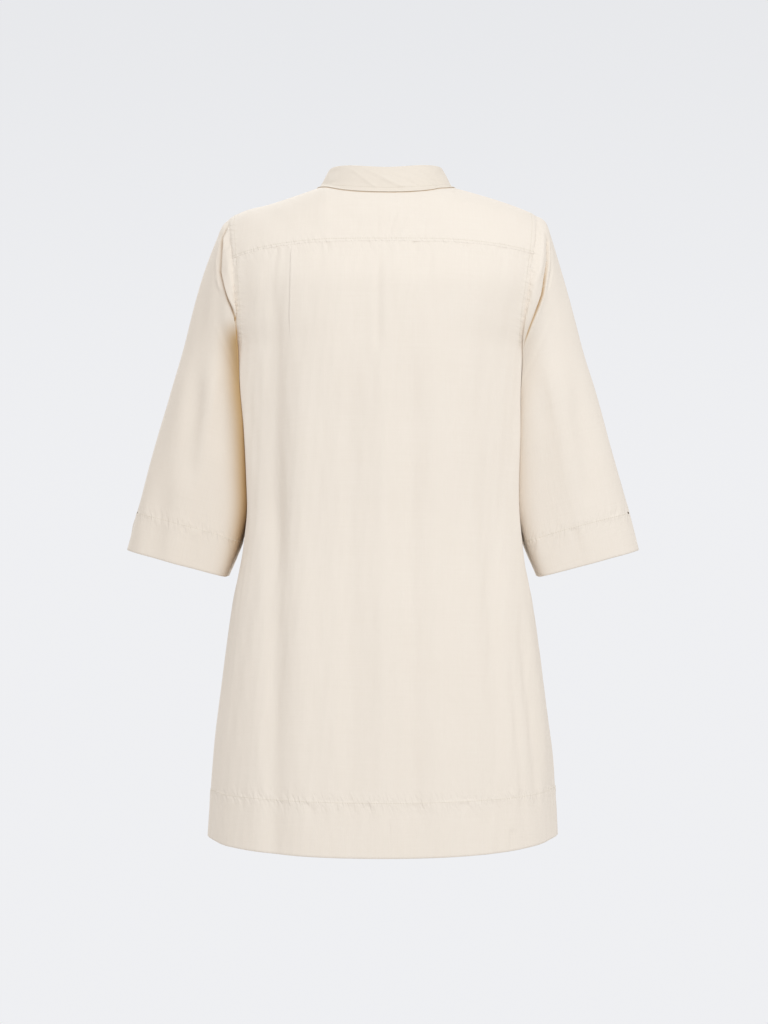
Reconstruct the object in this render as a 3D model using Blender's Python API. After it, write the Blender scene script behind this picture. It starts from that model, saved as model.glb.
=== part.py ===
"""Tunic top, worn and hollow: yoke, back, front, two set-in sleeves, shirt collar and short placket.

Metres. +X is the wearer's right, +Y the wearer's front and +Z up. The origin is the middle of the
neck at shoulder height, where the wearer carries the garment. The torso is a ring of sections, wide
and deep as SECTIONS says, closed at the top by rounded shoulders. Every panel is a stretch of that
ring, and a sleeve is a tube from the armhole edge to the cuff.
"""

import math
from typing import NamedTuple

import bmesh
import bpy
import numpy as np
from mathutils import Matrix, Vector

# ---------------------------------------------------------------- driving sizes
CLOTH = 0.0011                 # wall of a single layer
HEM_CLOTH = 0.0019             # wall where the hem is turned up
SEAM_GAP = 0.0003              # between two pieces sewn together
SLEEVE_CLEARANCE = 0.0012      # between the hanging sleeve and the side of the body

NECK_HALF_WIDTH = 0.068        # neck seam, side to side
NECK_BACK = 0.071              # neck seam, from the shoulder seam to centre back
NECK_FRONT = 0.057             # neck seam, from the shoulder seam to centre front
SHOULDER_HALF_WIDTH = 0.1895   # shoulder seam end
SHOULDER_SEAM_Y = 0.010        # the shoulder seam lies this far forward
ARMPIT_HEIGHT = -0.200
YOKE_SEAM_HEIGHT = -0.0725     # centre back
YOKE_SEAM_DROP = 0.0175        # how much lower the seam is at the armhole
YOKE_SEAM_POWER = 3.2          # keeps the middle of that seam almost level
SIDE_TURN_HEIGHT = -0.130      # above this the side seams come forward to the shoulder seams
SIDE_TURN_SPAN = 0.080         # over this height
HEM_HEIGHT = -0.803            # at the side seams
HEM_BACK_DROP = 0.011          # how much lower the hem is at centre back
HEM_FRONT_DROP = 0.011
HEM_CURVE_POWER = 2.2          # how flat the hem is in the middle
HEM_RIGHT_LIFT = 0.0024        # the hem is this much higher at the right side seam
HEM_LIFT_START = 0.65          # share of the way to that seam where it starts to rise
HEM_DEPTH = 0.058              # turned hem, edge to stitches
HEM_BACK_EXTRA = 0.007         # the turned hem is this much deeper at centre back
HEM_EXTRA_POWER = 3.0
CUFF_HEM_DEPTH = 0.046
SLEEVE_LENGTH = 0.43
RIGHT_CAP_FULLNESS = 0.0035    # the right sleeve stands out this much more just below the shoulder
RIGHT_CAP_END = 0.26           # share of the sleeve over which that fullness lasts
ARMHOLE_GAP = 0.00042          # between the armhole edge and the sleeve's first ring
ARMHOLE_BLEND = 0.30           # share of the sleeve over which the armhole's outline fades out
UNDERARM_BLEND = 0.035         # height over which the armhole edge turns under the arm
SLEEVE_CLEAR_SHARE = 0.06      # share of the sleeve over which its clearance grows
BACK_POWER = 2.45              # squareness of the back half of a section
FRONT_POWER = 2.15
FRONT_ROUND_HEIGHT = 0.085     # rounding of the shoulders on their front side
FRONT_ROUND_POWER = 2.1

STAND_HEIGHT = 0.0208
STAND_LEAN = 0.0032            # the stand's top is this much closer to the neck
COLLAR_SHIFT = 0.0024          # the collar's top sits this much to the right
STAND_OVERLAP_ANGLE = 9.0      # degrees that the closed stand laps past centre front
STAND_INSET = 0.00045          # the stand's outer side lies this far inside the neckline
STAND_LAP = 0.0018             # the upper end lies this far outside the lower one
STAND_LAP_START = 160.0        # degrees round the neck where the upper end starts to rise
STAND_LAP_SPAN = 11.0          # and over how many degrees
STAND_SEAM_GAP = 0.00045       # under the stand
STAND_LAP_GAP = 0.0009         # more of it under the lapped end
FALL_ROLL = 0.0022             # roll of the collar over the stand
FALL_ROLL_OUT = 0.00275        # the leaf starts this far outside the stand's top
FALL_ROLL_RISE = 0.0002        # the roll is this much higher in its middle
FALL_ROLL_DROP = 0.0005        # and ends this much under the stand's top
FALL_BOW = 0.0016              # how far the leaf bows out between its fold and its edge
FALL_CLEARANCE = 0.0019        # under the collar's outer edge
FALL_HALF_OPENING = 171.0      # degrees round the neck where the fall ends

PLACKET_WIDTH = 0.030
PLACKET_BOTTOM = -0.292
PLACKET_TOP_GAP = 0.0015
PLACKET_LIFT = 0.0005          # under the placket
PLACKET_COLUMNS = 3
LAST_BUTTON_RISE = 0.030       # the lowest button is this far above the placket's end
BUTTON_RADIUS = 0.0056
BUTTON_THICKNESS = 0.0024
BUTTON_COUNT = 4               # on the placket; one more closes the stand
BUTTON_PITCH = 0.052
DISH = 0.55                    # shares of the radius and of the thickness: the dish,
DISH_RIM = 0.72                # where it meets the rim,
RIM = 0.93                     # the rim's outer edge,
SHOULDER_RISE = 0.62           # the height of the widest ring,
UNDERSIDE = 0.92               # and the underside's radius

# ---------------------------------------------------------------- grid sizes
BACK_COLUMNS = 36
ARMHOLE_ROWS = 8
SKIRT_ROWS = 13
HEM_ROWS = 2
YOKE_NECK_COLUMNS = 8
YOKE_SHOULDER_COLUMNS = 7
YOKE_ROWS = 5
FRONT_TOP_ROWS = 12
SLEEVE_ROWS = 17
CUFF_ROWS = 2
COLLAR_COLUMNS = 40
FALL_ROWS = 4
BUTTON_SIDES = 16
YOKE_ROW_EASE = 1.7            # these powers bring rows closer together at one end
BACK_ROW_EASE = 1.8
SLEEVE_ROW_EASE = 1.15
SAMPLE_ROW_EASE = 1.6
COLUMN_SETTLE = 0.12           # the front's columns even out over this height below the neck
SAMPLE_COLUMNS = 121
SAMPLE_ROWS = 150
SAMPLE_BOTTOM = -0.60          # the sleeves and the collar stay above this
SAMPLE_REACH = 0.03            # a sample further off than this pushes nothing
SAMPLE_BATCH = 128
ARMPIT_CLEAR = 0.004           # armhole edges end this far above the armpit
HALVINGS = 30
STEP = 1e-4                    # for slopes worked out by a small step, in metres or radians
NECK_STEP = 0.02               # for slopes along the neck seam, in radians
CREASE_ANGLE = 50.0            # a sharper turn between two faces stays sharp
RIM_ANGLE = 40.0


class Section(NamedTuple):
    """One level of the torso: half its width, and its depth behind and before the side seams."""

    height: float
    half_width: float
    back: float
    front: float


SECTIONS = (
    Section(height=-0.830, half_width=0.2180, back=0.152, front=0.150),
    Section(height=-0.700, half_width=0.2102, back=0.143, front=0.143),
    Section(height=-0.600, half_width=0.1985, back=0.136, front=0.137),
    Section(height=-0.517, half_width=0.1865, back=0.129, front=0.131),
    Section(height=-0.445, half_width=0.1735, back=0.122, front=0.127),
    Section(height=-0.385, half_width=0.1690, back=0.119, front=0.125),
    Section(height=-0.300, half_width=0.1725, back=0.119, front=0.127),
    Section(height=-0.235, half_width=0.1765, back=0.121, front=0.128),
    Section(height=-0.200, half_width=0.1800, back=0.122, front=0.124),
    Section(height=-0.165, half_width=0.1920, back=0.122, front=0.113),
    Section(height=-0.120, half_width=0.2050, back=0.121, front=0.092),
    Section(height=-0.080, half_width=0.2110, back=0.116, front=0.068),
    Section(height=-0.040, half_width=0.2140, back=0.107, front=0.052),
    Section(height=0.010, half_width=0.2150, back=0.098, front=0.044),
)


class ArmholePoint(NamedTuple):
    """How far out the armhole edge lies at a height."""

    height: float
    reach: float


ARMHOLE = (
    ArmholePoint(height=-0.200, reach=0.1800),
    ArmholePoint(height=-0.165, reach=0.1800),
    ArmholePoint(height=-0.085, reach=0.1850),
    ArmholePoint(height=-0.037, reach=0.1895),
    ArmholePoint(height=0.010, reach=0.1895),
)


class ShoulderPoint(NamedTuple):
    """The shoulder line, left to right: its height, and the rounding behind it, its height and power."""

    across: float
    height: float
    round_height: float
    power: float


SHOULDER = (
    ShoulderPoint(across=-0.2160, height=-0.0560, round_height=0.055, power=2.2),
    ShoulderPoint(across=-0.1895, height=-0.0341, round_height=0.065, power=2.2),
    ShoulderPoint(across=-0.1670, height=-0.0244, round_height=0.075, power=2.4),
    ShoulderPoint(across=-0.1430, height=-0.0190, round_height=0.080, power=2.6),
    ShoulderPoint(across=-0.1070, height=-0.0074, round_height=0.090, power=2.9),
    ShoulderPoint(across=-0.0850, height=0.0006, round_height=0.095, power=3.2),
    ShoulderPoint(across=-0.0680, height=0.0045, round_height=0.100, power=3.6),
    ShoulderPoint(across=0.0000, height=0.0070, round_height=0.100, power=3.8),
    ShoulderPoint(across=0.0680, height=0.0055, round_height=0.100, power=3.6),
    ShoulderPoint(across=0.0870, height=0.0026, round_height=0.095, power=3.2),
    ShoulderPoint(across=0.1100, height=-0.0038, round_height=0.090, power=2.9),
    ShoulderPoint(across=0.1430, height=-0.0126, round_height=0.080, power=2.6),
    ShoulderPoint(across=0.1700, height=-0.0206, round_height=0.075, power=2.4),
    ShoulderPoint(across=0.1895, height=-0.0321, round_height=0.065, power=2.2),
    ShoulderPoint(across=0.2160, height=-0.0560, round_height=0.055, power=2.2),
)


class SleeveStation(NamedTuple):
    """One sleeve section: its outer and inner ends seen from behind, and half its depth."""

    along: float
    outer: float
    outer_height: float
    inner: float
    inner_height: float
    half_depth: float
    forward: float


SLEEVE = (
    SleeveStation(0.00, 0.1898, -0.0365, 0.1806, -0.2000, 0.052, 0.002),
    SleeveStation(0.05, 0.2010, -0.0450, 0.1815, -0.2130, 0.058, 0.003),
    SleeveStation(0.12, 0.2090, -0.0640, 0.1805, -0.2330, 0.063, 0.004),
    SleeveStation(0.24, 0.2245, -0.1100, 0.1785, -0.2600, 0.067, 0.005),
    SleeveStation(0.38, 0.2400, -0.1640, 0.1755, -0.2950, 0.068, 0.006),
    SleeveStation(0.56, 0.2612, -0.2380, 0.1735, -0.3400, 0.065, 0.008),
    SleeveStation(0.74, 0.2824, -0.3130, 0.1722, -0.3850, 0.061, 0.010),
    SleeveStation(0.88, 0.3015, -0.3805, 0.1788, -0.4330, 0.057, 0.012),
    SleeveStation(1.00, 0.3192, -0.4475, 0.1945, -0.4808, 0.052, 0.013),
)


class Fold(NamedTuple):
    """A soft fold down the torso. Angles are round the body from centre back, in degrees."""

    angle_top: float
    angle_bottom: float
    top: float
    bottom: float
    width: float
    depth: float


BODY_FOLDS = (
    Fold(angle_top=-1.0, angle_bottom=-4.0, top=-0.100, bottom=-0.900, width=0.016, depth=-0.0032),
    Fold(angle_top=16.0, angle_bottom=15.0, top=-0.090, bottom=-0.800, width=0.015, depth=-0.0026),
    Fold(angle_top=8.0, angle_bottom=6.0, top=-0.180, bottom=-0.950, width=0.016, depth=0.0022),
    Fold(angle_top=-36.0, angle_bottom=-33.0, top=-0.120, bottom=-0.900, width=0.017, depth=-0.0040),
    Fold(angle_top=-50.0, angle_bottom=-46.0, top=-0.140, bottom=-0.800, width=0.015, depth=0.0034),
    Fold(angle_top=-62.0, angle_bottom=-60.0, top=-0.300, bottom=-1.000, width=0.018, depth=-0.0036),
    Fold(angle_top=52.0, angle_bottom=47.0, top=-0.200, bottom=-0.950, width=0.018, depth=-0.0030),
    Fold(angle_top=66.0, angle_bottom=61.0, top=-0.350, bottom=-1.000, width=0.017, depth=0.0028),
    Fold(angle_top=30.0, angle_bottom=29.0, top=-0.450, bottom=-1.100, width=0.022, depth=0.0026),
    Fold(angle_top=-18.0, angle_bottom=-18.0, top=-0.480, bottom=-1.100, width=0.022, depth=0.0026),
    Fold(angle_top=141.0, angle_bottom=138.0, top=-0.230, bottom=-1.000, width=0.020, depth=-0.0045),
    Fold(angle_top=-143.0, angle_bottom=-139.0, top=-0.230, bottom=-1.000, width=0.020, depth=-0.0042),
    Fold(angle_top=124.0, angle_bottom=119.0, top=-0.270, bottom=-1.000, width=0.019, depth=0.0034),
    Fold(angle_top=-121.0, angle_bottom=-118.0, top=-0.290, bottom=-1.000, width=0.019, depth=0.0036),
    Fold(angle_top=163.0, angle_bottom=160.0, top=-0.380, bottom=-1.100, width=0.021, depth=0.0030),
    Fold(angle_top=-165.0, angle_bottom=-161.0, top=-0.420, bottom=-1.100, width=0.021, depth=0.0028),
)
FOLD_RADIUS = 0.165            # turns an angle round the body into a distance along the cloth
FOLD_FADE = 0.10               # a fold grows to its depth over this height
FOLD_START = 0.55              # share of its depth that a fold has at its top


class SleeveFold(NamedTuple):
    """A fold on a sleeve. Angles run from the outer edge over the back to the underarm."""

    side: int
    start: float
    end: float
    start_angle: float
    end_angle: float
    width: float
    depth: float


SLEEVE_FOLDS = (
    SleeveFold(side=-1, start=0.10, end=0.60, start_angle=150.0, end_angle=118.0, width=0.013, depth=-0.005),
    SleeveFold(side=-1, start=0.20, end=0.95, start_angle=118.0, end_angle=92.0, width=0.015, depth=0.0032),
    SleeveFold(side=-1, start=0.45, end=1.00, start_angle=66.0, end_angle=58.0, width=0.015, depth=-0.0026),
    SleeveFold(side=1, start=0.08, end=0.50, start_angle=146.0, end_angle=124.0, width=0.012, depth=-0.0040),
    SleeveFold(side=1, start=0.16, end=0.90, start_angle=112.0, end_angle=88.0, width=0.015, depth=0.0030),
    SleeveFold(side=1, start=0.50, end=1.00, start_angle=60.0, end_angle=64.0, width=0.014, depth=-0.0024),
    SleeveFold(side=-1, start=0.12, end=0.70, start_angle=218.0, end_angle=248.0, width=0.014, depth=-0.004),
    SleeveFold(side=1, start=0.12, end=0.75, start_angle=214.0, end_angle=250.0, width=0.014, depth=-0.0042),
)
SLEEVE_FOLD_RADIUS = 0.06      # turns an angle round the sleeve into a distance along the cloth
SLEEVE_FOLD_FADE = 0.25        # share of its length over which a fold grows to its depth


class FallPoint(NamedTuple):
    """The collar's free edge, by the angle round the neck from centre back."""

    angle: float
    across: float
    forward: float
    height: float


FALL_EDGE = (
    FallPoint(angle=0.0, across=0.0000, forward=-0.0790, height=-0.0080),
    FallPoint(angle=30.0, across=0.0420, forward=-0.0720, height=-0.0062),
    FallPoint(angle=60.0, across=0.0730, forward=-0.0440, height=-0.0010),
    FallPoint(angle=90.0, across=0.0838, forward=0.0020, height=0.0030),
    FallPoint(angle=118.0, across=0.0830, forward=0.0440, height=-0.0170),
    FallPoint(angle=145.0, across=0.0740, forward=0.0640, height=-0.0550),
    FallPoint(angle=171.0, across=0.0560, forward=0.0800, height=-0.0980),
)

CREAM = (0.83, 0.78, 0.68)
CLOTH_ROUGHNESS = 0.88
BUTTON_ROUGHNESS = 0.38


# ---------------------------------------------------------------- curves from tables
def smooth(value):
    """0 below 0, 1 above 1, and a smooth step between."""
    value = np.clip(value, 0.0, 1.0)
    return value * value * (3.0 - 2.0 * value)


def curve_through(rows, key, column):
    """A smooth curve of one column of a table, read at any key, that never swings past a row."""
    rows = sorted(rows, key=lambda row: getattr(row, key))
    xs = np.array([getattr(row, key) for row in rows])
    ys = np.array([getattr(row, column) for row in rows])
    spans = np.diff(xs)
    slopes = np.diff(ys) / spans
    tangents = np.empty_like(ys)
    tangents[0], tangents[-1] = slopes[0], slopes[-1]
    same_way = slopes[:-1] * slopes[1:] > 0
    mean = 2.0 * slopes[:-1] * slopes[1:] / np.where(same_way, slopes[:-1] + slopes[1:], 1.0)
    tangents[1:-1] = np.where(same_way, mean, 0.0)

    def read(at):
        at = np.clip(at, xs[0], xs[-1])
        i = np.clip(np.searchsorted(xs, at) - 1, 0, len(spans) - 1)
        t = (at - xs[i]) / spans[i]
        ease = t * t * (3.0 - 2.0 * t)
        rise = t * (1.0 - t) * ((1.0 - t) * tangents[i] - t * tangents[i + 1]) * spans[i]
        return ys[i] * (1.0 - ease) + ys[i + 1] * ease + rise

    return read


half_width_at = curve_through(SECTIONS, "height", "half_width")
back_at = curve_through(SECTIONS, "height", "back")
front_at = curve_through(SECTIONS, "height", "front")
armhole_at = curve_through(ARMHOLE, "height", "reach")
shoulder_height_at = curve_through(SHOULDER, "across", "height")
shoulder_round_at = curve_through(SHOULDER, "across", "round_height")
shoulder_power_at = curve_through(SHOULDER, "across", "power")


# ---------------------------------------------------------------- the torso
def fold_depth(angle, height):
    """How far the body's folds push the cloth out at an angle and a height."""
    total = np.zeros(np.broadcast(angle, height).shape)
    for fold in BODY_FOLDS:
        share = np.clip((fold.top - height) / (fold.top - fold.bottom), 0.0, 1.0)
        centre = np.radians(fold.angle_top + (fold.angle_bottom - fold.angle_top) * share)
        away = (angle - centre + math.pi) % (2.0 * math.pi) - math.pi
        shape = np.exp(-((away * FOLD_RADIUS / fold.width) ** 2))
        ends = smooth((fold.top - height) / FOLD_FADE) * smooth((height - fold.bottom) / FOLD_FADE)
        total = total + fold.depth * shape * ends * (FOLD_START + (1.0 - FOLD_START) * share)
    return total


def torso(angle, height):
    """Outer side of the torso. Angle 0 is centre back, 90 degrees the right side seam."""
    sine, cosine = np.sin(angle), np.cos(angle)
    back_half = cosine >= 0.0
    across = half_width_at(height) * sine
    power = np.where(back_half, BACK_POWER, FRONT_POWER)
    section = (1.0 - np.minimum(np.abs(sine), 1.0) ** power) ** (1.0 / power)
    depth = np.where(back_half, back_at(height), front_at(height))
    round_height = np.where(back_half, shoulder_round_at(across), FRONT_ROUND_HEIGHT)
    rounding = np.where(back_half, shoulder_power_at(across), FRONT_ROUND_POWER)
    below = np.clip((shoulder_height_at(across) - height) / round_height, 0.0, 1.0)
    cap = (1.0 - (1.0 - below) ** rounding) ** (1.0 / rounding)
    middle = SHOULDER_SEAM_Y * smooth((height - SIDE_TURN_HEIGHT) / SIDE_TURN_SPAN)
    out = fold_depth(angle, height)
    forward = middle - np.where(back_half, 1.0, -1.0) * depth * section * cap
    return np.stack([across + out * sine, forward - out * cosine, height + 0.0 * across], axis=-1)


def unit(vectors):
    return vectors / np.maximum(np.linalg.norm(vectors, axis=-1, keepdims=True), 1e-12)


def torso_normal(angle, height):
    """Outward direction of the torso, square to a small step round it and a small step down it."""
    round_it = torso(angle + STEP, height) - torso(angle - STEP, height)
    down = torso(angle, height - STEP) - torso(angle, height)
    return unit(np.cross(down, round_it))


def torso_angle(share, height):
    """The angle of a column that keeps the same share of the way from the centre to the edge."""
    edge = np.where(height > ARMPIT_HEIGHT, armhole_at(height), half_width_at(height))
    return np.arcsin(np.clip(share * edge / half_width_at(height), -1.0, 1.0))


def hem_height(share, drop):
    """Height of the hem edge: lowest in the middle of a panel."""
    lift = HEM_RIGHT_LIFT * smooth((share - HEM_LIFT_START) / (1.0 - HEM_LIFT_START))
    return HEM_HEIGHT + lift - drop * (1.0 - np.abs(share) ** HEM_CURVE_POWER)


def yoke_seam_height(share):
    return YOKE_SEAM_HEIGHT - YOKE_SEAM_DROP * np.abs(share) ** YOKE_SEAM_POWER


def neck_height(across, front_half):
    """Height of the neckline on the torso, whose plan is an ellipse. Found by halving the range."""
    share = np.sqrt(np.clip(1.0 - (across / NECK_HALF_WIDTH) ** 2, 0.0, 1.0))
    wanted = SHOULDER_SEAM_Y + share * (NECK_FRONT if front_half else -NECK_BACK)
    high = shoulder_height_at(across)
    low = high + YOKE_SEAM_HEIGHT * 2.0
    for _ in range(HALVINGS):
        middle = (high + low) / 2.0
        angle = np.arcsin(across / half_width_at(middle))
        forward = torso(math.pi - angle if front_half else angle, middle)[..., 1]
        beyond = forward > wanted if front_half else forward < wanted
        low = np.where(beyond, middle, low)
        high = np.where(beyond, high, middle)
    return high


def top_edge(share, front_half):
    """Height of a panel's top edge: the neckline in the middle, the shoulder seam beyond it."""
    across = share * SHOULDER_HALF_WIDTH
    on_neck = np.abs(across) < NECK_HALF_WIDTH
    inside = np.clip(across, -NECK_HALF_WIDTH, NECK_HALF_WIDTH)
    return np.where(on_neck, neck_height(inside, front_half), shoulder_height_at(across))


def neck_columns():
    """Shares of the columns: closer together where the neckline turns up to the shoulder seam."""
    corner = NECK_HALF_WIDTH / SHOULDER_HALF_WIDTH
    inner = corner * np.sin(np.linspace(0.0, math.pi / 2.0, YOKE_NECK_COLUMNS + 1))
    outer = np.linspace(corner, 1.0, YOKE_SHOULDER_COLUMNS + 1)[1:]
    half = np.concatenate([inner, outer])
    return np.concatenate([-half[:0:-1], half])


# ---------------------------------------------------------------- meshes
def add_material(obj, colour, roughness):
    material = bpy.data.materials.new(obj.name + "_finish")
    material.use_nodes = True
    shader = material.node_tree.nodes["Principled BSDF"]
    shader.inputs["Base Color"].default_value = (*colour, 1.0)
    shader.inputs["Roughness"].default_value = roughness
    shader.inputs["Metallic"].default_value = 0.0
    obj.data.materials.append(material)


def add_object(name, mesh, colour=CREAM, roughness=CLOTH_ROUGHNESS):
    obj = bpy.data.objects.new(name, mesh)
    bpy.context.scene.collection.objects.link(obj)
    add_material(obj, colour, roughness)
    return obj


def wall(name, outer, normals, thickness, closed=False):
    """A closed cloth wall from a grid of outer points, its inner side moved in along the normals."""
    rows, columns = outer.shape[:2]
    inner = outer - normals * np.broadcast_to(thickness, (rows, columns))[..., None]
    points = np.concatenate([outer.reshape(-1, 3), inner.reshape(-1, 3)])
    index = np.arange(rows * columns).reshape(rows, columns)
    if closed:
        index = np.concatenate([index, index[:, :1]], axis=1)
    offset = rows * columns
    a, b, c, d = index[:-1, :-1], index[:-1, 1:], index[1:, 1:], index[1:, :-1]
    faces = [np.stack([a, b, c, d], axis=-1).reshape(-1, 4)]
    faces.append(np.stack([d, c, b, a], axis=-1).reshape(-1, 4) + offset)
    rims = [(index[0], True), (index[-1], False)]
    if not closed:
        rims += [(index[:, 0], False), (index[:, -1], True)]
    for line, forward in rims:
        start, end = (line[:-1], line[1:]) if forward else (line[1:], line[:-1])
        faces.append(np.stack([end, start, start + offset, end + offset], axis=-1))
    mesh = bpy.data.meshes.new(name)
    mesh.from_pydata(points.tolist(), [], np.concatenate(faces).tolist())
    bm = bmesh.new()
    bm.from_mesh(mesh)
    bmesh.ops.recalc_face_normals(bm, faces=bm.faces)
    bm.to_mesh(mesh)
    bm.free()
    mesh.shade_smooth()
    mesh.set_sharp_from_angle(angle=math.radians(CREASE_ANGLE))
    return add_object(name, mesh)


def grid_normals(points, closed=False):
    """Directions square to a grid of points, by the slope to each neighbour."""
    if closed:
        across = np.roll(points, -1, axis=1) - np.roll(points, 1, axis=1)
    else:
        across = np.gradient(points, axis=1)
    along = np.gradient(points, axis=0)
    return unit(np.cross(across, along))


def pushed_clear(points, carrier, clearance):
    """Points moved out along the carrier's normals until they stand the clearance off it."""
    places, normals, edges = carrier
    flat = points.reshape(-1, 3).copy()
    gap = np.broadcast_to(clearance, points.shape[:-1]).reshape(-1)
    for start in range(0, len(flat), SAMPLE_BATCH):
        part = flat[start:start + SAMPLE_BATCH]
        nearest = np.argmin(((part[:, None] - places[None]) ** 2).sum(-1), axis=1)
        away = part - places[nearest]
        stands = (away * normals[nearest]).sum(-1)
        held = (np.linalg.norm(away, axis=-1) < SAMPLE_REACH) & ~edges[nearest]
        lift = np.where(held, np.maximum(gap[start:start + SAMPLE_BATCH] - stands, 0.0), 0.0)
        flat[start:start + SAMPLE_BATCH] = part + normals[nearest] * lift[:, None]
    return flat.reshape(points.shape)


# ---------------------------------------------------------------- panels
def seam_shift(points, front):
    """Half the seam gap, so that front and back part at the side and shoulder seams."""
    return points + np.array([0.0, SEAM_GAP / 2.0 if front else -SEAM_GAP / 2.0, 0.0])


def yoke_levels(share):
    """Heights of the yoke's rows, closer together over the shoulder."""
    top = top_edge(share, False)
    down = (np.linspace(0.0, 1.0, YOKE_ROWS + 1) ** YOKE_ROW_EASE)[:, None]
    return top + (yoke_seam_height(share) + SEAM_GAP / 2.0 - top) * down


def panel_levels(top, armhole_shares, hem, hem_depth):
    """Heights of a panel's rows: beside the armhole, down the skirt, and over the turned hem."""
    stitch = hem + hem_depth
    skirt = np.linspace(0.0, 1.0, SKIRT_ROWS + 1)[:-1, None]
    turned = np.linspace(0.0, 1.0, HEM_ROWS + 1)[:, None]
    return np.concatenate([
        top + (ARMPIT_HEIGHT - top) * armhole_shares[:-1, None],
        ARMPIT_HEIGHT + (stitch - ARMPIT_HEIGHT) * skirt,
        stitch + (hem - stitch) * turned,
    ])


def back_levels(share):
    """Heights of the back's rows, closer together towards the armpit."""
    depth = HEM_DEPTH + HEM_BACK_EXTRA * (1.0 - np.abs(share) ** HEM_EXTRA_POWER)
    top = yoke_seam_height(share) - SEAM_GAP / 2.0
    shares = 1.0 - (1.0 - np.linspace(0.0, 1.0, ARMHOLE_ROWS + 1)) ** BACK_ROW_EASE
    return panel_levels(top, shares, hem_height(share, HEM_BACK_DROP), depth)


def front_levels(share):
    """Heights of the front's rows, closer together over the shoulder and towards the armpit."""
    shares = 0.5 - 0.5 * np.cos(np.linspace(0.0, math.pi, FRONT_TOP_ROWS + 1))
    hem = hem_height(share, HEM_FRONT_DROP)
    return panel_levels(top_edge(share, True), shares, hem, HEM_DEPTH)


def yoke():
    share = neck_columns()[None, :]
    height = yoke_levels(share)
    angle = torso_angle(share, height)
    return wall("yoke", seam_shift(torso(angle, height), False), torso_normal(angle, height), CLOTH)


def panel_thickness(rows, hem_rows):
    layers = np.full((rows, 1), CLOTH)
    layers[-hem_rows:] = HEM_CLOTH
    return layers


def back():
    share = np.sin(np.linspace(-math.pi / 2.0, math.pi / 2.0, BACK_COLUMNS + 1))[None, :]
    height = back_levels(share)
    angle = torso_angle(share, height)
    thickness = panel_thickness(len(height), HEM_ROWS)
    return wall("back", seam_shift(torso(angle, height), False), torso_normal(angle, height), thickness)


def front():
    share = neck_columns()[None, :]
    height = front_levels(share)
    even = np.sin(np.linspace(-math.pi / 2.0, math.pi / 2.0, share.size))[None, :]
    settle = smooth((neck_height(np.array(0.0), True) - height) / COLUMN_SETTLE)
    angle = math.pi - torso_angle(share * (1.0 - settle) + even * settle, height)
    thickness = panel_thickness(len(height), HEM_ROWS)
    return wall("front", seam_shift(torso(angle, height), True), torso_normal(angle, height), thickness)


def torso_samples():
    """Closely spaced points of the whole torso with their normals. Armhole edges push nothing away."""
    share = np.linspace(-1.0, 1.0, SAMPLE_COLUMNS)[None, :]
    on_edge = np.abs(share) == 1.0
    down = (np.linspace(0.0, 1.0, SAMPLE_ROWS) ** SAMPLE_ROW_EASE)[:, None]
    points, normals, edges = [], [], []
    for front_half in (False, True):
        top = top_edge(share, front_half)
        height = top + (SAMPLE_BOTTOM - top) * down
        angle = torso_angle(share, height)
        if front_half:
            angle = math.pi - angle
        points.append(torso(angle, height).reshape(-1, 3))
        normals.append(torso_normal(angle, height).reshape(-1, 3))
        edges.append((on_edge & (height > ARMPIT_HEIGHT + ARMPIT_CLEAR)).reshape(-1))
    return np.concatenate(points), np.concatenate(normals), np.concatenate(edges)


# ---------------------------------------------------------------- sleeves
def armhole_edge(side, front_half):
    """The panels' own points down one half of an armhole, with their normals and outward tangents."""
    share = np.array([[float(side)]])
    if front_half:
        height = front_levels(share)[:FRONT_TOP_ROWS + 1, 0]
    else:
        height = np.concatenate([yoke_levels(share)[:, 0], back_levels(share)[1:ARMHOLE_ROWS + 1, 0]])
    angle = torso_angle(np.full(height.shape, float(side)), height)
    if front_half:
        angle = math.pi - angle
    onward = side * (-STEP if front_half else STEP)
    points = torso(angle, height)
    tangents = unit(torso(angle + onward, height) - points)
    return seam_shift(points, front_half), torso_normal(angle, height), tangents


def armhole_loop(side):
    """The sleeve's first ring, one seam gap outside the armhole edge, and its angles round the sleeve."""
    halves = [armhole_edge(side, False), armhole_edge(side, True)]
    turns = []
    for points, _, _ in halves:
        length = np.concatenate([[0.0], np.cumsum(np.linalg.norm(np.diff(points, axis=0), axis=1))])
        turns.append(math.pi * length / length[-1])
    rear, fore = halves
    points, normals, tangents = (np.concatenate([r, f[-2:0:-1]]) for r, f in zip(rear, fore))
    angle = np.concatenate([turns[0], 2.0 * math.pi - turns[1][-2:0:-1]])
    low = smooth((ARMPIT_HEIGHT + UNDERARM_BLEND - points[:, 2:]) / UNDERARM_BLEND)
    away = unit(tangents * (1.0 - low) + normals * low)
    return points + away * ARMHOLE_GAP, angle[None, :]


def sleeve_fold(side, angle, along):
    """How far the folds push a sleeve's cloth out."""
    total = np.zeros(np.broadcast(angle, along).shape)
    for fold in SLEEVE_FOLDS:
        if fold.side != side:
            continue
        share = (along - fold.start) / (fold.end - fold.start)
        turn = (fold.end_angle - fold.start_angle) * np.clip(share, 0.0, 1.0)
        centre = np.radians(fold.start_angle + turn)
        away = (angle - centre + math.pi) % (2.0 * math.pi) - math.pi
        ends = smooth(share / SLEEVE_FOLD_FADE)
        ends = ends * smooth((1.0 - share) / SLEEVE_FOLD_FADE + (fold.end >= 1.0))
        total = total + fold.depth * np.exp(-((away * SLEEVE_FOLD_RADIUS / fold.width) ** 2)) * ends
    return total


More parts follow.
